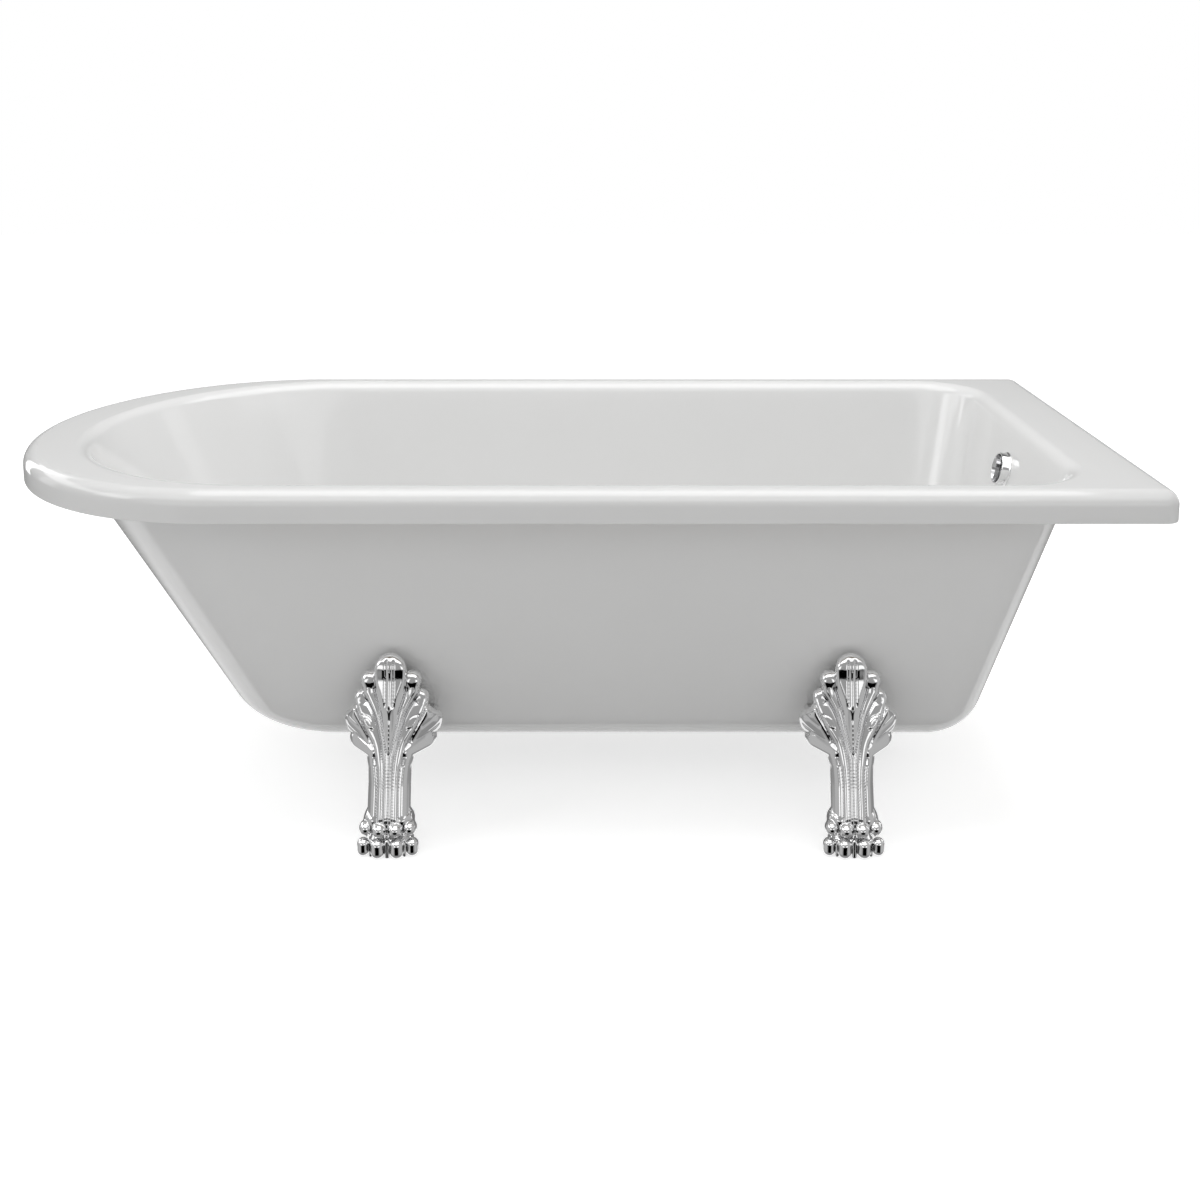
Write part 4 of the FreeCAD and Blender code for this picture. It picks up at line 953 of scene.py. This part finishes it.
def neighbour_mean(points, faces):
    edges = np.vstack([faces[:, [corner, (corner + 1) % 4]] for corner in range(4)])
    total = np.zeros_like(points)
    for axis in range(points.shape[1]):
        total[:, axis] = np.bincount(edges[:, 0], points[edges[:, 1], axis], len(points))
    return total / np.maximum(np.bincount(edges[:, 0], minlength=len(points)), 1)[:, None]


def eased(points, faces, rounds):
    """Points with the grid's ripple taken out: each round shrinks a little and swells back."""
    for _ in range(rounds):
        points = points + 0.5 * (neighbour_mean(points, faces) - points)
        points = points - 0.52 * (neighbour_mean(points, faces) - points)
    return points


def laid_on_relief(points):
    """Points of the front, moved onto the exact relief. The paw and the edges are left as they are."""
    plan, surface = worn_relief(points[:, 0], points[:, 2])
    gap = surface - points[:, 1]
    inside_edge = np.clip((plan - 2.6) / 1.2, 0, 1)
    above_paw = np.clip((points[:, 2] - 54.0) / 8.0, 0, 1)
    share = inside_edge * above_paw * np.clip(3.0 - np.abs(gap), 0, 1)
    moved = points.copy()
    moved[:, 1] += gap * share
    return moved


def hollowness(points, faces):
    """How far each point lies below its neighbourhood, along its normal, from 0 to 1: the amount of painted
    shade in hollows.
    """
    first, second, third, fourth = (points[faces[:, corner]] for corner in range(4))
    face_normal = np.cross(third - first, fourth - second)
    normal = np.zeros_like(points)
    for corner in range(4):
        np.add.at(normal, faces[:, corner], face_normal)
    normal /= np.linalg.norm(normal, axis=1)[:, None] + 1e-9
    mean = points
    for _ in range(6):
        mean = neighbour_mean(mean, faces)
    painted_hollow_shade = np.clip((((mean - points) * normal).sum(1) - 0.12) / 0.7, 0, 1)[:, None]
    for _ in range(3):
        painted_hollow_shade = neighbour_mean(painted_hollow_shade, faces)
    return painted_hollow_shade[:, 0]


def foot_mesh():
    """One casting on the +Y side at X = 0: points, faces and how deep in the casting's hollows each point
    lies, which sets its painted shade.
    """
    xs = np.arange(-0.5 * NET_STEP, 78.0, NET_STEP)
    ys = np.arange(196.0, 336.0, NET_STEP)
    zs = np.arange(-2.6, 285.0, NET_STEP)
    half = foot_field(xs, ys, zs)
    field = np.concatenate([half[:1:-1], half], axis=0)
    points, faces = net_over(field, np.array([-xs[-1], ys[0], zs[0]]), NET_STEP)
    points = eased(laid_on_relief(eased(points, faces, 5)), faces, 4)
    points[:, 2] = np.maximum(points[:, 2], 0.0)
    return points, faces, hollowness(points, faces)


def make_feet():
    points, faces, painted_hollow_shade = foot_mesh()
    for corner, (x, side) in FOOT_CENTRES.items():
        placed = points * np.array([side, side, 1.0]) + np.array([x, 0.0, 0.0])
        made = piece("claw_foot_form_" + corner, placed, faces, "chrome", "cast_chrome_painted_shade", FOOT_SHARP_ANGLE)
        # Painted shade: the chrome's colour is darkened where points lie in the casting's hollows
        layer = made.data.attributes.new("painted_hollow_shade", "FLOAT", "POINT")
        layer.data.foreach_set("value", painted_hollow_shade.astype(np.float32))
        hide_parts("claw_foot_" + corner)
        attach(made, "bath")


make_feet()


# ---- Overflow ring and its strainer, drawn about Z with +Z out through the wall ----
# The ring's section: radius, height, rounding of the corner
BEZEL_CORNERS = (
    (21.3, 5.0, 0.2),
    (23.5, 5.0, 0.2),
    (23.5, 0.0, 0.1),
    (29.5, 0.0, 0.3),
    (29.5, -2.0, 1.0),
    (27.6, -3.0, 0.7),
    (26.0, -14.0, 1.1),
    (23.8, -14.0, 0.8),
    (21.3, -2.0, 0.4),
)
STRAINER_LEVEL = 2.0
STRAINER_THICKNESS = 2.0
STRAINER_INPUTS = {
    "Plate Radius": ("Float", 21.2 * METRE),
    "Plate Depth": ("Float", STRAINER_THICKNESS * METRE),
    "Holes": ("Int", 8),
    "Hole Radius": ("Float", 3.6 * METRE),
    "Hole Circle": ("Float", 13.5 * METRE),
    "Screw Hole Radius": ("Float", 2.6 * METRE),
    # The plate's chrome is darkened all over, as painted shade of the recess
    "Finish": ("Material", FINISHES["painted_shade_chrome"]),
}
# How strongly the ring's inner side is darkened as painted shade, and how far past that side the painted
# shade reaches, in millimetres
PAINTED_SHADE_SHARE = 0.5
PAINTED_SHADE_MARGIN = 0.5


def rounded_profile(corners, steps=5):
    """Points along a closed outline of (radius, height, corner rounding)."""
    points = []
    for place, (radius, height, rounding) in enumerate(corners):
        here = np.array([radius, height])
        before, after = np.array(corners[place - 1][:2]), np.array(corners[(place + 1) % len(corners)][:2])
        start = here + (before - here) * rounding / np.linalg.norm(before - here)
        end = here + (after - here) * rounding / np.linalg.norm(after - here)
        for share in np.linspace(0, 1, steps):
            points.append((1 - share) ** 2 * start + 2 * share * (1 - share) * here + share**2 * end)
    return points


def turned(name, profile, slot, finish=None, steps=144):
    """A closed piece spun from (radius, height) points about Z."""
    turns = np.linspace(0, 2 * math.pi, steps, endpoint=False)
    circle = np.column_stack([np.cos(turns), np.sin(turns)])
    rings = [lift(radius * circle, height) for radius, height in profile]
    made = piece(name, np.vstack(rings), bands(rings, closed=True), slot, finish)
    weld(made.data, 1e-7, outwards=True)
    return made


def overflow_ring():
    """The ring, with its inner side and bore darkened in colour, as painted shade in the recess."""
    made = turned("overflow_bezel_form", rounded_profile(BEZEL_CORNERS), "chrome", "cast_chrome_painted_shade")
    corners = np.array(BEZEL_CORNERS)
    mouth, root = corners[-2], corners[-1]
    # Painted shade on the ring's inner side and bore
    painted_shade = made.data.attributes.new("painted_hollow_shade", "FLOAT", "POINT")
    for place, vertex in enumerate(made.data.vertices):
        x, y, z = vertex.co / METRE
        share = (root[1] - z) / (root[1] - mouth[1])
        inner_side = root[0] + (mouth[0] - root[0]) * min(max(share, 0.0), 1.0)
        within = math.hypot(x, y) < inner_side + PAINTED_SHADE_MARGIN
        painted_shade.data[place].value = PAINTED_SHADE_SHARE if within else 0.0
    made.data.transform(overflow_matrix())
    return made


def perforation_tree():
    """Geometry nodes: a plate with a ring of holes and one hole in the middle, and its inputs by name."""
    tree = bpy.data.node_groups.new("strainer_perforations", "GeometryNodeTree")
    tree.interface.new_socket("Geometry", in_out="OUTPUT", socket_type="NodeSocketGeometry")
    names = {}
    for name, (kind, _) in STRAINER_INPUTS.items():
        socket = tree.interface.new_socket(name, in_out="INPUT", socket_type="NodeSocket" + kind)
        names[name] = socket.identifier
    given = tree.nodes.new("NodeGroupInput").outputs

    def add(kind, **inputs):
        node = tree.nodes.new(kind)
        for name, value in inputs.items():
            socket = node.inputs[name.replace("_", " ")]
            if isinstance(value, bpy.types.NodeSocket):
                tree.links.new(value, socket)
            else:
                socket.default_value = value
        return node

    cylinder = "GeometryNodeMeshCylinder"
    plate = add(cylinder, Vertices=120, Radius=given["Plate Radius"], Depth=given["Plate Depth"])
    hole = add(cylinder, Vertices=48, Radius=given["Hole Radius"], Depth=1.0)
    middle = add(cylinder, Vertices=48, Radius=given["Screw Hole Radius"], Depth=1.0)
    circle = add("GeometryNodeMeshCircle", Vertices=given["Holes"], Radius=given["Hole Circle"])
    ring = add("GeometryNodeInstanceOnPoints", Points=circle.outputs[0], Instance=hole.outputs[0])
    holes = add("GeometryNodeRealizeInstances", Geometry=ring.outputs[0])
    cut = tree.nodes.new("GeometryNodeMeshBoolean")
    cut.operation = "DIFFERENCE"
    tree.links.new(plate.outputs[0], cut.inputs["Mesh 1"])
    tree.links.new(middle.outputs[0], cut.inputs["Mesh 2"])
    tree.links.new(holes.outputs[0], cut.inputs["Mesh 2"])
    whole = add("GeometryNodeRealizeInstances", Geometry=cut.outputs[0])
    faced = add("GeometryNodeSetMaterial", Geometry=whole.outputs[0], Material=given["Finish"])
    result = tree.nodes.new("NodeGroupOutput")
    tree.links.new(faced.outputs[0], result.inputs["Geometry"])
    return tree, names


def strainer_plate():
    tree, names = perforation_tree()
    made = put_in_scene("overflow_strainer_form", bpy.data.meshes.new("overflow_strainer_form"))
    grower = made.modifiers.new("perforations", "NODES")
    grower.node_group = tree
    for name, (_, value) in STRAINER_INPUTS.items():
        grower[names[name]] = value
    bake(made)
    made.data.transform(Matrix.Translation((0, 0, (STRAINER_LEVEL + STRAINER_THICKNESS / 2) * METRE)))
    made.data.transform(overflow_matrix())
    return made


for fitting, fitting_node in ((overflow_ring(), "overflow_bezel"), (strainer_plate(), "overflow_strainer")):
    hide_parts(fitting_node)
    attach(fitting, "bath")


# ---- Carried-over pieces ----
def smooth_copy(node, body, slot):
    """A CAD node's own shape with its curves shaded smooth."""
    source = frame["nodes"][node]
    mesh = source.data.copy()
    weld(mesh, 1e-6)
    shade(mesh, CARRIED_SHARP_ANGLE)
    mesh.materials.clear()
    mesh.materials.append(FINISHES[slot])
    made = put_in_scene(node + "_form", mesh)
    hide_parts(node)
    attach(made, body)


REPLACED = {"bath_inner_shell", "bath_outer_shell", "overflow_bezel", "overflow_strainer"}
REPLACED |= {"claw_foot_" + corner for corner in FOOT_CENTRES}
SLOTS = {part["node"]: part["material_slot"] for part in frame["record"]["subparts"]}
BODIES = frame["record"]["behaviour"]["bodies"]
for body, nodes in BODIES.items():
    for node in nodes:
        if node not in REPLACED:
            smooth_copy(node, body, SLOTS[node])


# ---- Room, light and camera ----
FLOOR_REACH = 9
FLOOR_LIFT = 0.6
ROOM_LEVEL = 0.34
ROOM_RISE_PER_DEGREE = 0.001
WORLD_SEEN = 1.0
WORLD_LIGHT = 0.53
# Name, place, target, width, height and watts
LAMPS = (
    ("top_softbox", (0.1, 0.0, 3.2), (0.1, 0, 0.3), 3.2, 2.2, 62.0),
    ("front_softbox", (0.1, -3.0, 2.7), (0.1, 0, 0.4), 3.2, 1.0, 8.0),
    ("window_left", (-2.9, -1.4, 1.9), (-0.4, 0, 0.45), 0.9, 1.5, 7.0),
    ("edge_strip_left", (-2.6, 1.3, 0.9), (-0.6, 0, 0.35), 0.4, 1.6, 5.0),
    ("edge_strip_right", (2.8, 1.3, 0.9), (0.7, 0, 0.35), 0.4, 1.6, 5.0),
)
FILM_WIDTH = 36.0
FOCAL_LENGTH = 38.23
CAMERA_SHIFT = (-0.01997, -0.25797)
CAMERA_PLACE = (0.09485, -2.03197, 1.06804)
CAMERA_TILT = 0.14


def floor_recipe(recipe):
    """A pale floor with its shadows, lifted to white for the camera. Reflections show the studio instead."""
    path = recipe.add("ShaderNodeLightPath")
    seen = Signal(recipe, path.outputs["Is Camera Ray"])
    glow = recipe.shine("ShaderNodeEmission", seen * FLOOR_LIFT)
    matt = recipe.add("ShaderNodeBsdfDiffuse", {}, {"Color": (0.8, 0.8, 0.8, 1)})
    both = recipe.add("ShaderNodeAddShader", {}, {0: matt.outputs[0], 1: glow})
    towards = recipe.add("ShaderNodeNewGeometry").outputs["Incoming"]
    away = recipe.add("ShaderNodeVectorMath", {"operation": "SCALE"}, {"Vector": towards, "Scale": -1.0})
    mirrored = recipe.shine("ShaderNodeEmission", studio_glow(recipe, away.outputs[0]))
    whole = recipe.blend(path.outputs["Is Glossy Ray"], both.outputs[0], mirrored)
    recipe.add("ShaderNodeOutputMaterial", {}, {"Surface": whole})


def make_room():
    mesh = bpy.data.meshes.new("studio_floor")
    signs = ((-1, -1), (1, -1), (1, 1), (-1, 1))
    corners = [(right * FLOOR_REACH, deep * FLOOR_REACH, 0) for right, deep in signs]
    mesh.from_pydata(corners, [], [(0, 1, 2, 3)])
    material, recipe = new_finish("studio_floor")
    floor_recipe(recipe)
    mesh.materials.append(material)
    floor = put_in_scene("studio_floor", mesh)


# The studio as the chrome sees it: azimuth from the front towards the tap end, elevation, brightness and edge
# softness, in degrees
STUDIO_PATCHES = (
    ((116, 190), (-22, 76), 0.2, 12),
    ((-190, -116), (-22, 76), 0.2, 12),
    ((112, 190), (-100, -30), 1.0, 6),
    ((-190, -112), (-100, -30), 1.0, 6),
    ((46, 96), (-40, 60), 0.5, 10),
    ((-96, -46), (-40, 60), 0.5, 10),
    ((-30, 30), (-44, -6), 0.0, 2),
    ((14, 42), (-3, 14), 1.25, 4),
    ((-42, -14), (-3, 14), 1.25, 4),
    ((-60, 60), (34, 78), 1.25, 3),
    ((-112, -98), (-5, 40), 1.2, 3),
    ((98, 112), (-5, 40), 1.2, 3),
    ((-140, -54), (20, 33), 2.4, 2),
)


def studio_glow(recipe, direction):
    """Brightness by direction, from soft-edged patches over a grey room that is paler overhead."""
    split = recipe.add("ShaderNodeSeparateXYZ", {}, {0: direction})
    across_room, deep, up = (Signal(recipe, output) for output in split.outputs)
    azimuth = Signal.math("ARCTAN2", across_room, deep * -1.0) * math.degrees(1)
    elevation = Signal.math("ARCSINE", up) * math.degrees(1)
    glow = elevation * ROOM_RISE_PER_DEGREE + ROOM_LEVEL
    for (left, right), (low, high), level, softness in STUDIO_PATCHES:
        inside = fade_in(azimuth, left, right, softness) * fade_in(elevation, low, high, softness)
        glow = glow + inside * (level - glow)
    return glow


def fade_in(value, low, high, softness):
    """1 between two angles, fading to 0 across each of them."""
    distance = Signal.math("ABSOLUTE", value - (low + high) / 2)
    inside = ((high - low + softness) / 2 - distance) / softness
    return Signal.math("MINIMUM", Signal.math("MAXIMUM", inside, 0.0), 1.0)


def make_world():
    world = bpy.data.worlds.new("studio")
    bpy.context.scene.world = world
    world.use_nodes = True
    recipe = Recipe(world.node_tree)
    path = recipe.add("ShaderNodeLightPath")
    seen = recipe.shine("ShaderNodeBackground", WORLD_SEEN)
    direction = recipe.add("ShaderNodeTexCoord").outputs["Generated"]
    mirrored = recipe.shine("ShaderNodeBackground", studio_glow(recipe, direction))
    lit = recipe.shine("ShaderNodeBackground", WORLD_LIGHT)
    glossy = recipe.blend(path.outputs["Is Glossy Ray"], lit, mirrored)
    whole = recipe.blend(path.outputs["Is Camera Ray"], glossy, seen)
    recipe.add("ShaderNodeOutputWorld", {}, {"Surface": whole})


def area_light(name, place, target, width, height, watts):
    light = bpy.data.lights.new(name, "AREA")
    light.shape = "RECTANGLE"
    light.size = width
    light.size_y = height
    light.energy = watts
    lamp = put_in_scene(name, light)
    direction = (Vector(target) - Vector(place)).normalized()
    lamp.matrix_world = Matrix.Translation(place) @ direction.to_track_quat("-Z", "Y").to_matrix().to_4x4()


def make_camera():
    camera = bpy.data.cameras.new("camera")
    camera.sensor_width = FILM_WIDTH
    camera.lens = FOCAL_LENGTH
    camera.shift_x, camera.shift_y = CAMERA_SHIFT
    camera.clip_end = 60.0
    stand = put_in_scene("camera", camera)
    stand.location = CAMERA_PLACE
    stand.rotation_euler = (math.pi / 2 - CAMERA_TILT, 0.0, 0.0)
    bpy.context.scene.camera = stand


make_room()
make_world()
for lamp_values in LAMPS:
    area_light(*lamp_values)
make_camera()
bpy.context.scene.view_settings.view_transform = "Standard"
